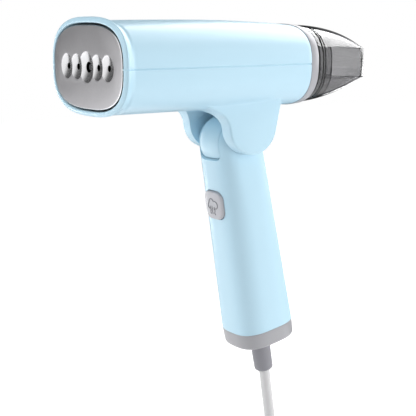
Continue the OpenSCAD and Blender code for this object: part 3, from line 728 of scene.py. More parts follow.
class STEAMER_OT_camera(Operator):
    """Camera at a standing viewer's height, in front of the soleplate and to one side"""

    bl_idname = "steamer.camera"
    bl_label = "Camera"

    def execute(self, context):
        data = bpy.data.cameras.new("camera")
        data.sensor_width, data.lens = 36, 88.27
        data.clip_start, data.clip_end = 0.01, 50
        camera = bpy.data.objects.new("camera", data)
        camera.location, camera.rotation_euler = CAMERA_AT, (CAMERA_TILT, 0, CAMERA_TURN)
        context.scene.collection.objects.link(camera)
        context.scene.camera = camera
        return {"FINISHED"}


def seen_rays(r):
    """1 for every ray that shows the background itself, from the camera, off gloss or through glass, and 1
    for the rays off gloss alone."""
    camera, gloss, through = (
        r.node("ShaderNodeLightPath", out=f"Is {kind} Ray") for kind in ("Camera", "Glossy", "Transmission")
    )
    off_gloss = gloss * (1 - through)
    return camera + off_gloss + through, off_gloss


class STEAMER_OT_stage(Operator):
    """Pale floor, pale world and soft studio lamps"""

    bl_idname = "steamer.stage"
    bl_label = "Stage and light"

    def execute(self, context):
        context.scene.view_settings.view_transform = "Standard"
        self.world(context.scene)
        self.floor(context.scene)
        for name, (azimuth, elevation, wide, high, watts, shows, lights) in SOFTBOXES.items():
            light = self.lamp(name, azimuth, elevation, (wide, high), watts)
            light.visible_glossy, light.visible_diffuse = shows, lights
            light.visible_transmission = name != "tank_sheen"
        self.flag("left_strip", "soleplate", "EXCLUDE")
        self.flag("far_sheen", "water_tank", "EXCLUDE")
        self.flag("tank_sheen", "water_tank", "INCLUDE")
        return {"FINISHED"}

    def world(self, scene):
        """White where it is seen, an even light elsewhere, and a dark card for gloss."""
        scene.world = bpy.data.worlds.new("studio")
        r = Recipe(scene.world)
        seen, gloss = seen_rays(r)
        towards = r.node("ShaderNodeTexCoord", out="Generated")
        card = r.node("ShaderNodeVectorMath", {"operation": "DOT_PRODUCT"}, {0: towards, 1: CARD_AT}, "Value")
        lit = lerp(scene.steamer_stage.ambient, 1.0, seen) - CARD_DARK * gloss * card.between(*CARD_FADE)
        glow = r.node("ShaderNodeBackground", inputs={"Color": (1.0, 1.0, 1.0), "Strength": lit})
        r.node("ShaderNodeOutputWorld", inputs={"Surface": glow})

    def floor(self, scene):
        """Plain floor, lifted to white where it is seen; gloss finds its far part dark."""
        w, drop = FLOOR_HALF, CAD_BOX[0][2] - scene.steamer_stage.floor_drop
        mesh = bpy.data.meshes.new("floor")
        mesh.from_pydata([[-w, -w, drop], [w, -w, drop], [w, w, drop], [-w, w, drop]], [], [[0, 1, 2, 3]])
        floor = bpy.data.objects.new("floor", mesh)
        scene.collection.objects.link(floor)
        owner = bpy.data.materials.new("floor_paint")
        mesh.materials.append(owner)
        r = Recipe(owner)
        seen, gloss = seen_rays(r)
        x, y, _ = r.axes()
        # painted reflection: gloss rays find the floor's far part painted near black, as a dark card there
        # would show
        far = gloss * (y * 0.8 - x * 0.6).between(0.35, 0.75)
        even = r.shades(r.noise(3, 2), tone_of("floor"), 0.99, 1.01)
        paint = r.node("ShaderNodeBsdfDiffuse", inputs={"Color": r.mix(far, even, (0.05, 0.05, 0.05))})
        lift = r.node("ShaderNodeEmission", inputs={"Color": (1.0, 1.0, 1.0), "Strength": (seen - far) * 0.6})
        both = r.node("ShaderNodeAddShader", inputs={0: paint, 1: lift})
        r.node("ShaderNodeOutputMaterial", inputs={"Surface": both})

    def lamp(self, name, azimuth, elevation, size, watts):
        """Soft rectangular light; azimuth 0 stands in front of the soleplate and 90 to its +X side."""
        data = bpy.data.lights.new(name, "AREA")
        data.shape, data.size, data.size_y, data.energy = "RECTANGLE", *size, watts
        light = bpy.data.objects.new(name, data)
        a, e = math.radians(azimuth), math.radians(elevation)
        away = np.array([math.sin(a) * math.cos(e), -math.cos(a) * math.cos(e), math.sin(e)])
        light.location = np.array(LAMPS_AIM) + away * LAMP_DISTANCE
        light.rotation_euler = (math.pi / 2 - e, 0, a)
        bpy.context.scene.collection.objects.link(light)
        return light

    def flag(self, lamp_name, piece_name, link_state):
        """Keeps a lamp off one piece, as a black card beside it does, or lets it reach nothing else."""
        card = bpy.data.collections.new(lamp_name + "_flag")
        card.objects.link(bpy.data.objects[piece_name])
        card.collection_objects[0].light_linking.link_state = link_state
        bpy.data.objects[lamp_name].light_linking.receiver_collection = card


# ---------- cord ----------

HANK_X, HANK_Y, HANK_Z = -10, 45, -228
HANK_TURNS = 4.8
PLUG_TOP = -176
TIE_HALF_HEIGHT, TIE_BELOW = 7, 15
# the cord's way down to the hank, and its tail from the hank to the plug, whose x counts from the plug's
FALL = [[0, 17, -92], [0, 19, -106], [0, 20.8, -118], [0, 21.8, -126], [-2, 22, -136], [-6, 22, -148],
        [-9, 22, -158]]
TAIL = [[-10, 68, -160], [-8, 65, -150], [-4, 57, -143], [0, 49, -144], [0, 45.5, -152], [0, 45, -164],
        [0, 45, -178]]


def hank_line(c):
    """Middle line of the hank: down one run, round the fold, up the other run and round again, going
    sideways by one pitch a turn. The distance along gives the place on the loop."""
    half, fold, r = c.run / 2, math.pi * c.bend, c.bend
    loop = 2 * c.run + 2 * fold
    s = np.arange(0, loop * HANK_TURNS, 4.0)
    q = s % loop
    legs = [q < c.run, q < c.run + fold, q < 2 * c.run + fold]
    low, high = (q - c.run) / r, (q - 2 * c.run - fold) / r
    y = np.select(legs, [-r + 0 * q, -r * np.cos(low), r + 0 * q], r * np.cos(high))
    z = np.select(legs, [half - q, -half - r * np.sin(low), q - c.run - fold - half], half + r * np.sin(high))
    return np.stack([HANK_X + c.pitch * s / loop, HANK_Y + y, HANK_Z + z], axis=1)


class STEAMER_OT_cord(Operator):
    """Mains cord: down from the strain relief into a tied hank, and out to its plug"""

    bl_idname = "steamer.cord"
    bl_label = "Mains cord"

    def execute(self, context):
        c = sizes("cord")
        exit_at = in_handle([0, 0, GRIP_UP - sizes("handle").relief_down]) / MM
        plug_x = HANK_X + HANK_TURNS * c.pitch + c.diameter / 2 + 7.9
        tail = smooth(np.array(TAIL) + [plug_x, 0, 0], 4)
        line = np.vstack([smooth([exit_at, *FALL], 4), hank_line(c), tail])
        points = evenly(smooth(line, 2), 2.5) * MM
        curve = bpy.data.curves.new("mains_cord", "CURVE")
        curve.dimensions, curve.bevel_depth, curve.bevel_resolution = "3D", c.diameter * MM / 2, 3
        curve.use_fill_caps = True
        spline = curve.splines.new("POLY")
        spline.points.add(len(points) - 1)
        spline.points.foreach_set("co", np.c_[points, np.ones(len(points))].ravel())
        cord = bpy.data.objects.new("mains_cord", curve)
        context.scene.collection.objects.link(cord)
        dress(cord, cord_plastic(), "handle", "cord_white", "cord_tube", "cord_hank", "cord_tail")

        plug = dress(self.plug(plug_x), cord_plastic(), "handle", "cord_white", "plug_body")
        repaint(brushed("plug_brass", linear(205, 178, 120), 0.28), "plug_pins")
        tie = dress(self.tie(c), rubber("tie_rubber", linear(74, 76, 80)), "handle", "cord_tie", "cord_tie")
        return {"FINISHED"}

    def plug(self, plug_x):
        """Moulded plug: a ribbed neck that opens into a flat grip, each ring a superellipse."""
        rows = [[0, 4.6, 4.6, 2], [-1, 5.2, 5.2, 2]]
        for k in range(4):
            for down, r in ((0, 5.3), (0.4, 4.6), (1.2, 4.7), (1.6, 5.5)):
                rows.append([-1.6 - 3 * k - down, r + 0.3 * k, r + 0.3 * k, 2])
        rows += [[-15, 6.9, 8, 2.1], [-19, 7.6, 12, 2.3], [-25, 7.8, 15.4, 2.4], [-32, 7.8, 17.4, 2.5],
                 [-38, 7.8, 17.6, 2.5], [-43, 7.8, 17.6, 2.5], [-43.7, 7.5, 17.3, 2.5], [-44, 6.8, 16.6, 2.5]]
        x, z, y = oval_grid(smooth(rows, 2), full_turn(72))
        return lofted("plug", np.stack([plug_x + x, HANK_Y + y, PLUG_TOP + z], axis=-1), in_frame, 40)

    def tie(self, c):
        """Strap round the hank: a rounded rectangular loop with a rounded section."""
        half = HANK_TURNS * c.pitch / 2
        t = full_turn(20)[:, None]
        out = 1.0 + 0.8 * signed_power(np.cos(t), 0.6)
        x, y = oval(half + c.diameter / 2 + out, c.bend + c.diameter / 2 + out, 9, full_turn(96))
        z = np.repeat(TIE_HALF_HEIGHT * signed_power(np.sin(t), 0.35), 96, axis=1)
        rings = np.stack([HANK_X + half + x, HANK_Y + y, HANK_Z - TIE_BELOW + z], axis=-1)
        return ring_solid("cord_strap", rings, in_frame, 50)


# ---------- head ----------

PLATE_SQUARENESS, LIP_SQUARENESS = 2.9, 2.8
# flared lip round the soleplate: place, growth at the side, at the top and at the bottom
LIP = [[0.7, 0.8, 0.8, 0.8], [0.2, 1.1, 1.1, 1.1], [0, 1.9, 1.9, 1.9], [0.35, 3, 2.9, 2.6],
       [0.85, 4, 3.8, 3.3], [1.4, 4.5, 4.3, 3.8], [2.1, 4.35, 4.15, 3.7], [3, 3.65, 3.45, 3.45],
       [4.1, 2.95, 2.75, 3.1], [5.5, 2.4, 2.35, 2.95]]
# where the body behind the lip has its sections, and where the flange inside the lip ends
BODY_YS = [7.2, 9, 11.5, 15, 20, 27, 36, 46, 58, 70, 82, 94, 106, 118, 130]
FLANGE_FRONT, FLANGE_BACK, FLANGE_GAP = 6.4, 7.2, 0.8
# angles up from the seam, close together in its groove
SEAM_ANGLES = [0, 0.12, 0.3, 0.55, 1.0, 2.0, 3.5]
PUMP_Z, PUMP_WAY_R = -4, 12.02
RIB_YS, RIB_THICK, RIB_HALF_WIDTH = (68, 118), 3, 14
RIB_ZS = {1: (12.5, 25.7), -1: (-26.4, -11.4)}
# side view of the hinge ears: their root inside the body, their front, the slope that runs in to the hollow
# curve, and the hollow and the round foot that it meets
EAR_ROOT, EAR_FRONT, EAR_BACK = -19, 64, 124.05
RUN_IN_TOP, RUN_IN_FALL, RUN_IN_END = -22.87, 0.5, 75.9
HOLLOW_AT, HOLLOW_R = (69.5, -41.5), 14.2
FOOT_AT, FOOT_R = (101.5, -38), 18
FILLET_FRONT, FILLET_BACK, FILLET_FADE = 66.4, 119.6, 2.4
# what is cut out under the body: the arched way between the ears and the way behind the hinge, the barrel
# round the knuckle, the seats of the hinge pins, and the ways for the wires and the pump
ARCH_FRONT, ARCH_FOOT, ARCH_RISE, ARCH_SQUARENESS = 57.5, -43.5, 15.4, 3.6
REAR_WAY_LENGTH, REAR_WAY_TOP, BELOW = 30, -38, -70
BARREL_R, PIN_SEAT_R, PIN_SEAT = 18.8, 4.52, (14, 25.3)
WIRE_WAY, PUMP_WAY = ([-22, 60, -21.8], [22, 130, -16.8]), (60, 125)


def body_section(h, y, up):
    """Half-width, height and squareness of the body at y: it narrows evenly to the rear while its section
    turns from a rounded box into an oval. The crown swells a little half way, then falls away."""
    u = np.asarray(y, float) / h.body
    fall = np.maximum(2 * u - 1, 0) ** 2
    if up > 0:
        height = h.crown - 0.3 * u + 0.7 * np.sin(math.pi * u) - 2 * fall
    else:
        height = h.keel - 0.1 * u - 0.7 * fall
    squareness = 3.04 - 0.4 * np.maximum(u, 0) ** 1.3
    return np.stack([lerp(h.front_half_width, h.rear_half_width, u), height, squareness], axis=-1)


def shell(name, h, up):
    """Half of the head's shell: superellipse sections set along the body, from the plate's gap round the
    lip to the collar, over half a turn. A groove runs along both edges where the halves meet."""

    def skin(y):
        return np.c_[y, body_section(h, y, up)]

    def lining(y):
        return skin(y) - [0, h.wall, h.wall, 0]

    seat = np.array([0, h.plate_half_width, h.plate_half_height, LIP_SQUARENESS])
    lip = [seat + [y, side, top if up > 0 else low, 0] for y, side, top, low in LIP]
    rear = skin(np.array([h.body - 0.3, h.body]))
    rear[:, 1:] = rear[-1, 1:] - np.outer([0.08, 0.3], [1, 1, 0])
    outer = np.vstack([smooth(np.vstack([lip, skin(np.array(BODY_YS + [h.body - 0.7]))]), 4), rear])
    lip_rows = 4 * len(lip)
    flange_front = seat + [FLANGE_FRONT, FLANGE_GAP, FLANGE_GAP, 0]
    flange = lerp(flange_front, lining(np.array([FLANGE_BACK])), np.linspace(0, 1, lip_rows)[:, None])
    inner = np.vstack([flange, lining(np.linspace(FLANGE_BACK + 0.4, h.body, len(outer) - lip_rows))])

    near = np.radians(SEAM_ANGLES)
    phi = np.concatenate([near, np.radians(np.linspace(5.5, 174.5, 77)), (math.pi - near)[::-1]])
    grids = []
    for rows, groove in ((outer, h.seam_depth), (inner, 0)):
        x, y, z = oval_grid(rows, phi)
        z[:, [0, -1]] = 0
        x = x - np.sign(x) * groove * (1 - np.minimum(z / h.seam_half, 1) ** 2)
        grids.append(np.stack([x, y, up * z], axis=-1))
    points, faces = walled(*grids, wrap=False)
    return finished(name, in_head(points), faces)


def pump_ribs(up):
    low, high = RIB_ZS[up]
    for y in RIB_YS:
        yield box_solid("rib", [-RIB_HALF_WIDTH, y, low], [RIB_HALF_WIDTH, y + RIB_THICK, high])


class STEAMER_OT_upper_shell(Operator):
    """Upper half of the head, with its part of the lip and the ribs that hold the pump"""

    bl_idname = "steamer.upper_shell"
    bl_label = "Upper head shell"

    def execute(self, context):
        piece = shell("head_upper_shell", sizes("head"), 1)
        added(piece, *pump_ribs(1))
        dress(shaded(piece, 38), shell_plastic(), "head", "shell_blue", "upper_shell")
        return {"FINISHED"}


def ear_block(h):
    """Both hinge ears in one block: a side view with a hollow front curve and a round foot, carried across
    the head. Near each end the view shrinks by a quarter circle's rise, which rounds the edge."""
    line = np.vstack([[[EAR_BACK, EAR_ROOT], [EAR_FRONT, EAR_ROOT], [EAR_FRONT, RUN_IN_TOP]],
                      arc(HOLLOW_AT, HOLLOW_R, 63.4, 6.24, 40), arc(FOOT_AT, FOOT_R, 186.24, 348, 110)])
    side = evenly(np.vstack([line, line[:1]]), 0.5)[:-1]
    t = np.roll(side, -1, axis=0) - np.roll(side, 1, axis=0)
    inward = np.stack([-t[:, 1], t[:, 0]], axis=1) / np.linalg.norm(t, axis=1)[:, None]
    turn = quarter(7)
    xs = h.ear_out - h.ear_edge + h.ear_edge * np.sin(turn)
    insets = h.ear_edge * (1 - np.cos(turn))
    ends = list(zip(xs, insets))
    stations = [(-x, inset) for x, inset in ends[::-1]] + ends
    return lofted("ears", [np.c_[np.full(len(side), x), side + inset * inward] for x, inset in stations])


def ear_fillet(h, side):
    """Hollow fillet between an ear's outside and the body over it. At each station a circle touches both:
    its middle lies where the body's outline, moved out by the radius, crosses the ear's plane moved out by
    the same. Its radius is small over the ear's run-in, and dies away at the back."""
    phi = np.radians(np.linspace(280, 352, 400))
    steps = np.arange(len(phi))
    wall_x = h.ear_out - 0.012
    tail = FILLET_BACK + FILLET_FADE * np.sin(np.radians(np.linspace(12, 84, 7)))
    rings = []
    for y in np.concatenate([np.linspace(FILLET_FRONT, FILLET_BACK, 44), tail]):
        x, z = oval(*body_section(h, y, -1), phi)
        out = np.stack([np.gradient(z), -np.gradient(x)], axis=1)
        out /= np.linalg.norm(out, axis=1)[:, None]
        below = np.interp(wall_x, x, z) - (RUN_IN_TOP - RUN_IN_FALL * (min(y, RUN_IN_END) - EAR_FRONT))
        r = h.ear_fillet if y > RUN_IN_END else min(h.ear_fillet, max(0.7 * below, 0.1))
        if y > FILLET_BACK:
            r *= math.sqrt(1 - ((y - FILLET_BACK) / FILLET_FADE) ** 2)
        touch = np.interp(wall_x + r, x + r * out[:, 0], steps)
        tx, tz, ox, oz = (np.interp(touch, steps, v) for v in (x, z, out[:, 0], out[:, 1]))
        middle = (wall_x + r, tz + r * oz)
        hollow = arc(middle, r, 180, math.degrees(math.atan2(-oz, -ox)), 8)
        ring = np.vstack([hollow, [[tx - ox, tz - oz], [wall_x - 1.2, middle[1]]]])
        rings.append(ring_at(y, (side * ring[:, 0], ring[:, 1])))
    return lofted("ear_fillet", rings)


class STEAMER_OT_lower_shell(Operator):
    """Lower half of the head with the two hinge ears, cut by the arched way that the handle folds through"""

    bl_idname = "steamer.lower_shell"
    bl_label = "Lower head shell and ears"

    def execute(self, context):
        h = sizes("head")
        piece = shell("head_lower_shell", h, -1)
        added(piece, ear_block(h), ear_fillet(h, 1), ear_fillet(h, -1), *pump_ribs(-1))
        x, z = oval(h.ear_in, ARCH_RISE, ARCH_SQUARENESS, np.radians(np.linspace(0, 180, 65)))
        arch = np.vstack([[[h.ear_in, BELOW]], np.c_[x, z + ARCH_FOOT], [[-h.ear_in, BELOW]]])
        hinge = HINGE_IN_HEAD[1:]
        pin_seat, (near, far) = circle(hinge, PIN_SEAT_R, 48), PIN_SEAT
        cut(
            piece,
            prism("way", arch, ARCH_FRONT, hinge[0]),
            prism("barrel", circle(hinge, BARREL_R), -h.ear_in, h.ear_in, "x"),
            box_solid("wire_way", *WIRE_WAY),
            box_solid("rear_way", [-h.ear_in, hinge[0], BELOW],
                      [h.ear_in, hinge[0] + REAR_WAY_LENGTH, REAR_WAY_TOP]),
            prism("pin_seat_right", pin_seat, near, far, "x"),
            prism("pin_seat_left", pin_seat, -far, -near, "x"),
            prism("pump_way", circle((0, PUMP_Z), PUMP_WAY_R), *PUMP_WAY),
        )
        dress(shaded(piece, 38), shell_plastic(), "head", "shell_blue", "lower_shell")
        return {"FINISHED"}


def dish(x, width, deep, hole):
    """Cap of a ball that dips into the plate, and the steam hole at its bottom."""
    r = (width**2 / 4 + deep**2) / (2 * deep)
    t = np.linspace(0, math.acos((r - deep - 1) / r), 40)
    cap = np.stack([r * np.sin(t), deep - r + r * np.cos(t)], axis=1)
    yield lofted("dish", revolved(cap, 96, "y", [x, 0, 0]))
    yield prism("steam_hole", circle((x, 0), hole / 2, 48), -1, 8)


class STEAMER_OT_soleplate(Operator):
    """Soleplate with five hollow steam dishes, and the pin in the middle hole"""

    bl_idname = "steamer.soleplate"
    bl_label = "Soleplate"

    def execute(self, context):
        h = sizes("head")
        bevel, t = 0.7, quarter(7)
        rows = [[4.5, 0.4], [4.2, 0], *np.c_[bevel - bevel * np.sin(t), bevel - bevel * np.cos(t)]]
        a, b = h.plate_half_width - h.plate_gap, h.plate_half_height - h.plate_gap
        plate = lofted("soleplate", [ring_at(y, oval(a - off, b - off, PLATE_SQUARENESS, full_turn(144)))
                                     for y, off in rows])
        for k in (-2, -1, 1, 2):
            cut(plate, *dish(k * h.dish_pitch, h.dish_width, h.dish_depth, h.steam_hole))
        cut(plate, *dish(0, h.middle_dish_width, h.middle_dish_depth, h.middle_steam_hole))
        dress(shaded(plate, 12), plate_metal(), "head", "plate_metal", "steam_plate")
        repaint(brushed("dark_steel", linear(120, 120, 124), 0.3), "steam_pin")
        repaint(rubber("gasket_rubber", linear(40, 40, 43)), "plate_gasket")
        return {"FINISHED"}


# ---------- tank ----------

# the tank carries the body's section on, and its arched top and bottom start at a crease on either side
TANK_HALF_WIDTH, TANK_SQUARENESS = 34.6, 2.55
NECK_SQUARENESS, NECK_WALL, NECK_OUT = 2.5, 1.8, 13.5
VALVE_R, FILLER_AT, FILLER_R = 6.2, (15, 3), 6
# top and bottom of the tank: its half-height, its crease's height, its flat end's height, the powers by
# which the arch falls to the end, and how much squarer it grows
TOP = SimpleNamespace(rise=24.4, crease=9.4, flat=10.8, late=2.2, fast=2.0, squarer=0.1)
BOTTOM = SimpleNamespace(rise=26.2, crease=9.8, flat=10.6, late=1.8, fast=1.75, squarer=0)
# the two grip grooves behind the tank's rim: place and depth
GRIP_GROOVES = [(0.0, 0.3), (0.3, 0.05), (0.8, 0), (3.0, 0), (3.35, 0.5), (3.7, 0.7), (4.05, 0.5), (4.4, 0),
                (5.1, 0), (5.4, 0.45), (5.7, 0.65), (6.0, 0.45), (6.3, 0)]


def oval_height(share):
    """Share of its half-height that the tank's oval has at a share of its half-width, or the reverse."""
    return np.maximum(1 - share**TANK_SQUARENESS, 0) ** (1 / TANK_SQUARENESS)


def tank_section(k, y, off):
    """Outline of the tank's wall at y, off inside its outside: an arched top and an arched bottom that
    flatten to the rear, and straight sides that narrow to the flat end."""
    u = np.clip((y - k.start) / k.length, 0, 1)
    s = np.cos(np.radians(np.linspace(0, 180, 65)))
    arches = []
    for p, up in ((TOP, 1), (BOTTOM, -1)):
        top = p.flat + (p.rise - p.flat) * (1 - u**p.late) ** (1 / p.fast) - off
        share = oval_height(p.crease / p.rise)
        x, z = lerp(TANK_HALF_WIDTH * share, k.end_half_width, u) - off, p.crease - off * 0.4
        bulge = (p.rise * oval_height(np.abs(s) * share) - p.crease) / (p.rise - p.crease)
        arches.append(np.c_[s * x, up * (z + (top - z) * np.maximum(bulge, 0) ** (1 - p.squarer * u))])
    z = np.linspace(TOP.crease, -BOTTOM.crease, 17)[1:-1]
    rim = TANK_HALF_WIDTH * oval_height(np.abs(z) / np.where(z > 0, TOP.rise, BOTTOM.rise))
    bow = 0.3 * (1 - (z / BOTTOM.crease) ** 2)
    side = np.c_[-(lerp(rim, k.end_half_width + bow, u) - off), z * (1 - off * 0.04)]
    return np.vstack([arches[0], side, arches[1][::-1], (side * [-1, 1])[::-1]])


def tank_solid(name, k, rows):
    """Solid through the tank's sections at rows of (place, inset)."""
    return lofted(name, [ring_at(y, tank_section(k, y, off).T) for y, off in rows])


def neck(name, k, start, end, off):
    outline = oval(k.neck_half_width - off, k.neck_half_height - off, NECK_SQUARENESS, full_turn(160))
    return lofted(name, [ring_at(y, outline) for y in (start, end)])


class STEAMER_OT_tank(Operator):
    """Grey collar, and the clear water tank with its neck, two grip grooves and the sleeve inside"""

    bl_idname = "steamer.tank"
    bl_label = "Collar and tank"

    def execute(self, context):
        k = sizes("tank")
        end = k.start + k.length
        last = end + k.end_proud
        joint = last - k.end_plate
        dress(self.walls(k, end, joint), smoky_clear(), "tank", "smoky_clear", "tank_body")
        rows = [(joint + 0.06, 0.25), (joint + 0.3, 0)]
        rows += [(last - back, off) for back, off in ((0.6, 0), (0.3, 0.06), (0.1, 0.18), (0, 0.4))]
        end_plate = shaded(tank_solid("tank_end_plate", k, rows), 32)
        dress(end_plate, clear_end(), "tank", "smoky_clear")
        repaint(rubber("seal_rubber", linear(46, 46, 50)), "tank_seal", "nozzle_ring")
        repaint(rubber("valve_rubber", linear(108, 108, 112)), "tank_valve", "filler_plug")
        dress(self.collar(k, sizes("head")), collar_plastic(), "head", "collar_grey", "tank_collar")
        return {"FINISHED"}

    def walls(self, k, end, joint):
        """The tank's grooved walls and neck, hollow from the neck through a sleeve to the end plate."""
        rows = [(k.start + y, off) for y, off in GRIP_GROOVES]
        rows += [(y, 0) for y in lerp(k.start + 8, end - 3, np.linspace(0, 1, 26))]
        rows += [(y, 0) for y in (end - 2.4, joint - 0.6, joint - 0.1)] + [(joint, 0.2)]
        tank = tank_solid("water_tank", k, rows)
        neck_end = k.start - NECK_OUT
        added(tank, neck("neck", k, neck_end, k.start + 1, 0))
        sleeve = [(k.start + y, k.wall + 1.3) for y in (2.6, 5, 8, 12)]
        hollow = [(y, k.wall) for y in lerp(k.start + 12.6, end, np.linspace(0, 1, 24))]
        cut(
            tank,
            tank_solid("hollow", k, sleeve + hollow),
            neck("bore", k, neck_end + NECK_WALL, k.start + 5, NECK_WALL),
            prism("valve_seat", circle((0, PUMP_Z), VALVE_R), neck_end - 1, neck_end + 4),
            prism("filler_seat", circle(FILLER_AT, FILLER_R), neck_end - 1, neck_end + 4),
        )
        return shaded(tank, 32)

    def collar(self, k, h):
        """Ring with soft edges that carries on the body's section, round the neck's bore."""
        a, top, _ = body_section(h, h.body, 1)
        low = body_section(h, h.body, -1)[1]
        w, phi = k.collar, full_turn(180)
        rings = []
        front = [(0, 1.0), (0, 0.45), (0.12, 0.14), (0.4, 0), (w / 2, 0)]
        rear = [(w - 0.5, 0), (w - 0.15, 0.12), (w, 0.4), (w, 1.2)]
        for y, off in front + rear:
            u = y / w
            x, z = oval(a - 0.6 * u - off, top + 0.5 - 0.5 * u - off, 2.64 - 0.05 * u, phi)
            rings.append(ring_at(h.body + y, (x, np.where(z < 0, z * low / top, z))))
        bore = oval(k.neck_half_width + 0.35, k.neck_half_height + 0.35, NECK_SQUARENESS, phi)
        rings += [ring_at(h.body + y, bore) for y in (w, 0)]
        return ring_solid("tank_collar_ring", rings, sharp=35)


# ---------- handle ----------

GRIP_SQUARENESS, KNUCKLE_HALF_WIDTH = 3, 18.47
BUSH_WAY_R = 6.02
# the knuckle's cover: where it starts and ends round the hinge, and the middle radius for its corners
COVER_FROM, COVER_TO, COVER_R = -22, 150, 17.4
COVER_EDGE, COVER_SUNK, COVER_CORNER = 0.6, 0.12, 3
# the knuckle's window for it: inner and outer radius, and the degrees of gap at both ends
WINDOW_R, WINDOW_GAPS = (12.6, 22), (2.2, 2)
BUTTON_RIM, BUTTON_CORNER, BUTTON_EDGE = 0.8, 5.5, 0.8
# the button's foot inside the handle: side, corner and place of each step
BUTTON_FOOT = ((21.6, 6, -14.4), (21.6, 6, -13.2), (6, 3, -13.2), (6, 3, -10.9), (0.4, 0.2, -10.9))


def grip_half(s, t):
    """Half-width and half-depth of the handle t below the hinge."""
    half_width = lerp(KNUCKLE_HALF_WIDTH, s.half_width, ease(t / 170) * 1.13)
    return half_width, lerp(s.top_half_depth, s.half_depth, t / s.down)


def handle_skin(s, off):
    """The handle's outside, off inside it, as a grid: superellipse sections from the foot up to the hinge,
    pressed flat between the ears, then the top one turned a quarter round the hinge into the knuckle."""
    phi = full_turn(160)
    rows = []
    for t in [s.down, s.down - 0.25, s.down - 0.6, *np.linspace(s.down - 2, 0, 84)]:
        inset = off or np.interp(s.down - t, [0, 0.25, 0.6], [0.25, 0.06, 0])
        a, b = grip_half(s, t)
        x, y = oval(a - inset, b - inset, GRIP_SQUARENESS, phi)
        flat = lerp(s.flat, a + 2, ease((t - 19) / 34)) - off
        squeeze = (np.maximum(np.abs(x) / flat, 1e-9) ** 44 + 1) ** (-1 / 44)
        rows.append(ring_at(GRIP_UP - t, (x * squeeze, y), "z"))
    x, y, _ = rows[-1].T
    for turn in quarter(25)[1:]:
        rows.append(ring_at(GRIP_UP + np.abs(y) * math.sin(turn), (x, y * math.cos(turn)), "z"))
    return np.array(rows)


def knuckle_r(s, x):
    """Radius of the knuckle at x."""
    return s.top_half_depth * np.maximum(1 - (np.abs(x) / KNUCKLE_HALF_WIDTH) ** 3, 0) ** (1 / 3)


def sector(name, section, half, start, end, corner):
    """Solid whose section, given by a function of the half-width as points (x, radius), is carried round
    the hinge from start to end degrees; the half-width draws in at the low end, for round corners."""
    low = math.degrees(corner / COVER_R)
    turn = np.concatenate([start + low * (1 - np.cos(quarter(12))), np.linspace(start + low, end, 70)[1:]])
    s = np.minimum((turn - start) / low, 1)
    widths = half - corner + corner * np.sqrt(1 - (1 - s) ** 2)
    rings = []
    for t, w in zip(np.radians(turn), widths):
        x, r = section(w).T
        rings.append(np.stack([x, -r * np.cos(t), GRIP_UP + r * np.sin(t)], axis=1))
    return lofted(name, rings, in_handle)


class STEAMER_OT_handle(Operator):
    """Handle: one closed tube with its rounded knuckle, the cover's window and the button's opening"""

    bl_idname = "steamer.handle"
    bl_label = "Handle"

    def execute(self, context):
        s = sizes("handle")
        low, high = WINDOW_R
        points, faces = walled(handle_skin(s, 0), handle_skin(s, s.wall), wrap=True)
        piece = finished("handle_shell_tube", in_handle(points), faces)
        x, z = rounded_square(s.button + 2 * s.button_gap, BUTTON_CORNER + s.button_gap, full_turn(144))
        cut(
            piece,
            sector("window", lambda w: np.array([[-w, low], [w, low], [w, high], [-w, high]]),
                   s.cover_half_width + s.cover_gap, COVER_FROM - WINDOW_GAPS[0], COVER_TO + WINDOW_GAPS[1],
                   COVER_CORNER + 0.2),
            prism("button_way", np.c_[x, z + GRIP_UP - s.button_down], -26, -11, place=in_handle),
            prism("pin_way", circle((0, GRIP_UP), BUSH_WAY_R, 64), -30, 30, "x", in_handle),
        )
        dress(shaded(piece, 35), shell_plastic(), "handle", "shell_blue", "handle_shell")
        repaint(nylon(), "hinge_bushes")
        return {"FINISHED"}


class STEAMER_OT_knuckle_cover(Operator):
    """Drum-shaped cover of the knuckle, flush with it, with turned-in edges and round lower corners"""

    bl_idname = "steamer.knuckle_cover"
    bl_label = "Knuckle cover"

    def execute(self, context):
        s = sizes("handle")

        def section(w):
            e = COVER_EDGE
            face = np.c_[np.linspace(0, w - e, 13)[:-1], np.zeros(12)]
            rim = [[w, -4.6], [w - 1.8, -4.6], [w - 1.8, -2.2]]
            right = np.vstack([face, arc((w - e, -e), e, 90, 0, 5), rim])
            x, z = np.vstack([right, (right * [-1, 1])[::-1][:-1]]).T
            return np.c_[x, knuckle_r(s, x) - COVER_SUNK + z]

        half, corner = s.cover_half_width, COVER_CORNER
        piece = sector("knuckle_drum_cover", section, half, COVER_FROM, COVER_TO, corner)
        dress(shaded(piece, 40), shell_plastic(), "handle", "cover_blue", "knuckle_cover")
        return {"FINISHED"}


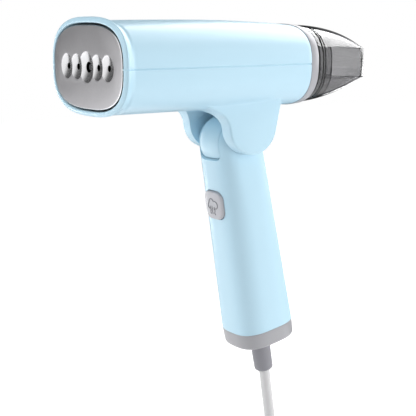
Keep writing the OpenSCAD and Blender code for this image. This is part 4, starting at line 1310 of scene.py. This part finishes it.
class STEAMER_OT_button(Operator):
    """Steam button with a crowned face, and the raised steam sign on it: a cloud over three wavy lines"""

    bl_idname = "steamer.button"
    bl_label = "Steam button"

    @staticmethod
    def face_y(s, x, z):
        """The button's face: the handle's own bow at that height, moved out until it stands proud."""
        depth = lerp(s.top_half_depth, s.half_depth, (s.button_down - z) / s.down)
        return -(depth + s.button_proud) * (1 - (np.abs(x) / 19.2) ** 3) ** (1 / 3)

    def execute(self, context):
        s = sizes("handle")
        middle, phi = GRIP_UP - s.button_down, full_turn(144)
        face, corner = s.button - 2 * BUTTON_RIM, BUTTON_CORNER - BUTTON_EDGE
        rings = []

        def ring(w, r, y=None, sink=0.0):
            x, z = rounded_square(w, r, phi)
            rings.append(ring_at(self.face_y(s, x, z) + sink if y is None else y, (x, z + middle)))

        for u in np.linspace(0.04, 1, 26):
            ring(face * u, corner * u)
        for t in quarter(8)[1:]:
            out, sink = math.sin(t), 1 - math.cos(t)
            ring(face + 2 * BUTTON_RIM * out, corner + BUTTON_EDGE * out, sink=BUTTON_EDGE * sink)
        ring(s.button, BUTTON_CORNER, y=BUTTON_FOOT[0][2])
        for w, r, y in BUTTON_FOOT:
            ring(w, r, y=y)
        piece = lofted("steam_button_cap", rings, in_handle, sharp=40)
        dress(piece, button_plastic(), "button", "grey_plastic", "steam_button")

        # painted shade: the raised beads are real, and their darker grey is painted shade along the embossed
        # lines
        sign_painted_shade_grey = moulded("sign_painted_shade_grey", linear(122, 123, 128), 0.4)
        dress(self.sign(s, middle), sign_painted_shade_grey, "button", "grey_plastic")
        repaint(black_plastic(), "microswitch")
        return {"FINISHED"}

    def sign(self, s, middle):
        """Beads along flat lines laid on the button's face: the cloud is three arcs over an open foot."""
        cloud = np.vstack([arc((-3.1, -0.4), 2.0, 275, 118, 14), arc((-1.1, 2.0), 2.45, 176, 20, 18),
                           arc((3.0, 0.5), 2.45, 112, -95, 18)])
        lines = [evenly(cloud, 0.35)]
        z = np.linspace(-1.0, -6.2, 22)
        for x, up in ((-2.6, 0.3), (-0.6, 0.5), (1.9, 0)):
            lines.append(np.c_[x + 0.34 * np.sin((z + 1) * 2.1), z + up])
        bead_half_width, bead_rise, bead_lift = 0.36, 0.3, 0.02
        points, faces, first = [], [], 0
        t = full_turn(10)
        for line in lines:
            run = np.gradient(line, axis=0)
            across = np.stack([-run[:, 1], run[:, 0]], axis=1) / np.linalg.norm(run, axis=1)[:, None]
            flat = line[:, None] + bead_half_width * np.cos(t)[None, :, None] * across[:, None]
            y = self.face_y(s, flat[..., 0], flat[..., 1]) - bead_lift - bead_rise * np.sin(t)[None, :]
            points.append(np.stack([flat[..., 0], y, flat[..., 1] + middle], axis=-1).reshape(-1, 3))
            faces += tube_faces(len(line), len(t), first)
            first += len(points[-1])
        return finished("steam_sign", in_handle(np.concatenate(points)), faces, 60)


class STEAMER_OT_foot(Operator):
    """Foot cap with its rounded lower edge, and the tapered strain relief"""

    bl_idname = "steamer.foot"
    bl_label = "Foot cap and strain relief"

    def execute(self, context):
        s = sizes("handle")
        foot = GRIP_UP - s.down
        dress(self.cap(s, foot), grey_plastic(), "handle", "grey_plastic", "bottom_cap")
        relief_rubber = rubber("relief_rubber", linear(136, 136, 142), 0.5)
        dress(self.relief(s, foot), relief_rubber, "handle", "grey_rubber", "strain_relief")
        repaint(cord_plastic(), "cord_core")
        repaint(nylon(), "cord_clamp")
        repaint(steel(), "clamp_screws")
        return {"FINISHED"}

    def cap(self, s, foot):
        """Cup that carries the handle's section on to a round edge, with a plug and a bored floor."""
        phi = full_turn(160)

        def grip(off):
            return oval(s.half_width - off, s.half_depth - off, GRIP_SQUARENESS, phi)

        skin = [(0, 0.9), (0, 0.3), (-0.12, 0.1), (-0.4, 0.02), (-3, 0.14), (-6, 0.28), (-8.6, 0.42)]
        skin += [(-8.6 - 2.4 * math.sin(t), 0.42 + 2.2 * (1 - math.cos(t))) for t in quarter(9)[1:]]
        rings = [ring_at(foot + z, grip(off), "z") for z, off in skin]
        bore = (6.85 * np.cos(phi), 6.85 * np.sin(phi))
        inside = [(-s.cap, bore), (-6.5, bore), (-6.5, oval(13, 15, 4, phi)), (6, oval(13, 15, 4, phi))]
        inside += [(z, grip(s.wall + 0.35)) for z in (6, 0)]
        rings += [ring_at(foot + z, outline, "z") for z, outline in inside]
        return ring_solid("foot_cap", rings, in_handle, 35)

    def relief(self, s, foot):
        """Flange inside the cap and a tapered sleeve with a round nose, in one revolved wall."""
        end = GRIP_UP - s.relief_down - s.relief_nose
        bore = sizes("cord").diameter / 2 + 0.02
        flange = [[bore, foot - 3.5], [9, foot - 3.5], [9, foot - 6.5], [6.8, foot - 6.5]]
        sleeve = [[r, foot - s.cap - low] for r, low in ((6.8, 0), (6.72, 0.4), (6.62, 0.9), (6.5, 10))]
        nose = arc((4.35, end + 2), 2, 0, -90, 8)
        profile = np.vstack([flange, sleeve, nose, [[bore + 0.4, end], [bore, end + 0.4]]])
        return ring_solid("strain_relief_sleeve", revolved(profile, 96, "z"), in_handle, 35)


# ---------- inner parts ----------


class STEAMER_OT_inner_parts(Operator):
    """Finishes of what sits inside: boiler, pump, water way, board and hinge pins"""

    bl_idname = "steamer.inner_parts"
    bl_label = "Inner parts"

    def execute(self, context):
        repaint(cast("boiler_casting", linear(170, 170, 174)), "boiler", "boiler_cover")
        repaint(steel(), "cover_screws", "board_screws", "pump_frame", "hinge_pin_left", "hinge_pin_right",
                "thermal_fuse")
        repaint(brushed("heating_rod_steel", linear(140, 132, 126), 0.4), "heating_rods")
        repaint(black_plastic(), "thermostat", "board_triac")
        repaint(nylon(), "pump", "water_tube", "board_rails")
        repaint(rubber("mount_rubber", linear(40, 40, 43)), "pump_mounts")
        repaint(grey_plastic(), "tank_socket")
        repaint(brushed("nozzle_brass", linear(196, 170, 112), 0.3), "socket_nozzle")
        repaint(circuit_green(), "control_board")
        repaint(moulded("relay_blue", linear(58, 98, 170), 0.4), "board_relay")
        repaint(moulded("capacitor_yellow", linear(206, 170, 74), 0.4), "board_capacitor")
        return {"FINISHED"}


# ---------- panel and run ----------

STEPS = (
    STEAMER_OT_camera, STEAMER_OT_cord, STEAMER_OT_upper_shell, STEAMER_OT_lower_shell, STEAMER_OT_soleplate,
    STEAMER_OT_tank, STEAMER_OT_handle, STEAMER_OT_knuckle_cover, STEAMER_OT_button, STEAMER_OT_foot,
    STEAMER_OT_inner_parts, STEAMER_OT_stage,
)
GROUPS = {
    "steamer_head": HeadSizes, "steamer_handle": HandleSizes, "steamer_tank": TankSizes,
    "steamer_cord": CordSizes, "steamer_colours": Colours, "steamer_stage": StageSizes,
}


class STEAMER_PT_panel(Panel):
    """Every step of the steamer's look, in order"""

    bl_idname = "STEAMER_PT_panel"
    bl_label = "Garment steamer"
    bl_space_type = "VIEW_3D"
    bl_region_type = "UI"
    bl_category = "Steamer"

    def draw(self, context):
        for step in STEPS:
            self.layout.operator(step.bl_idname)
        for key, group in GROUPS.items():
            box = self.layout.box()
            box.label(text=group.__name__)
            for name in group.__annotations__:
                box.prop(getattr(context.scene, key), name)


def register():
    for each in (*GROUPS.values(), *STEPS, STEAMER_PT_panel):
        bpy.utils.register_class(each)
    for key, group in GROUPS.items():
        setattr(bpy.types.Scene, key, PointerProperty(type=group))


def unregister():
    for key in GROUPS:
        delattr(bpy.types.Scene, key)
    for each in reversed((*GROUPS.values(), *STEPS, STEAMER_PT_panel)):
        bpy.utils.unregister_class(each)


def main():
    register()
    for step in STEPS:
        area, name = step.bl_idname.split(".")
        getattr(getattr(bpy.ops, area), name)()


if __name__ == "__main__":
    main()
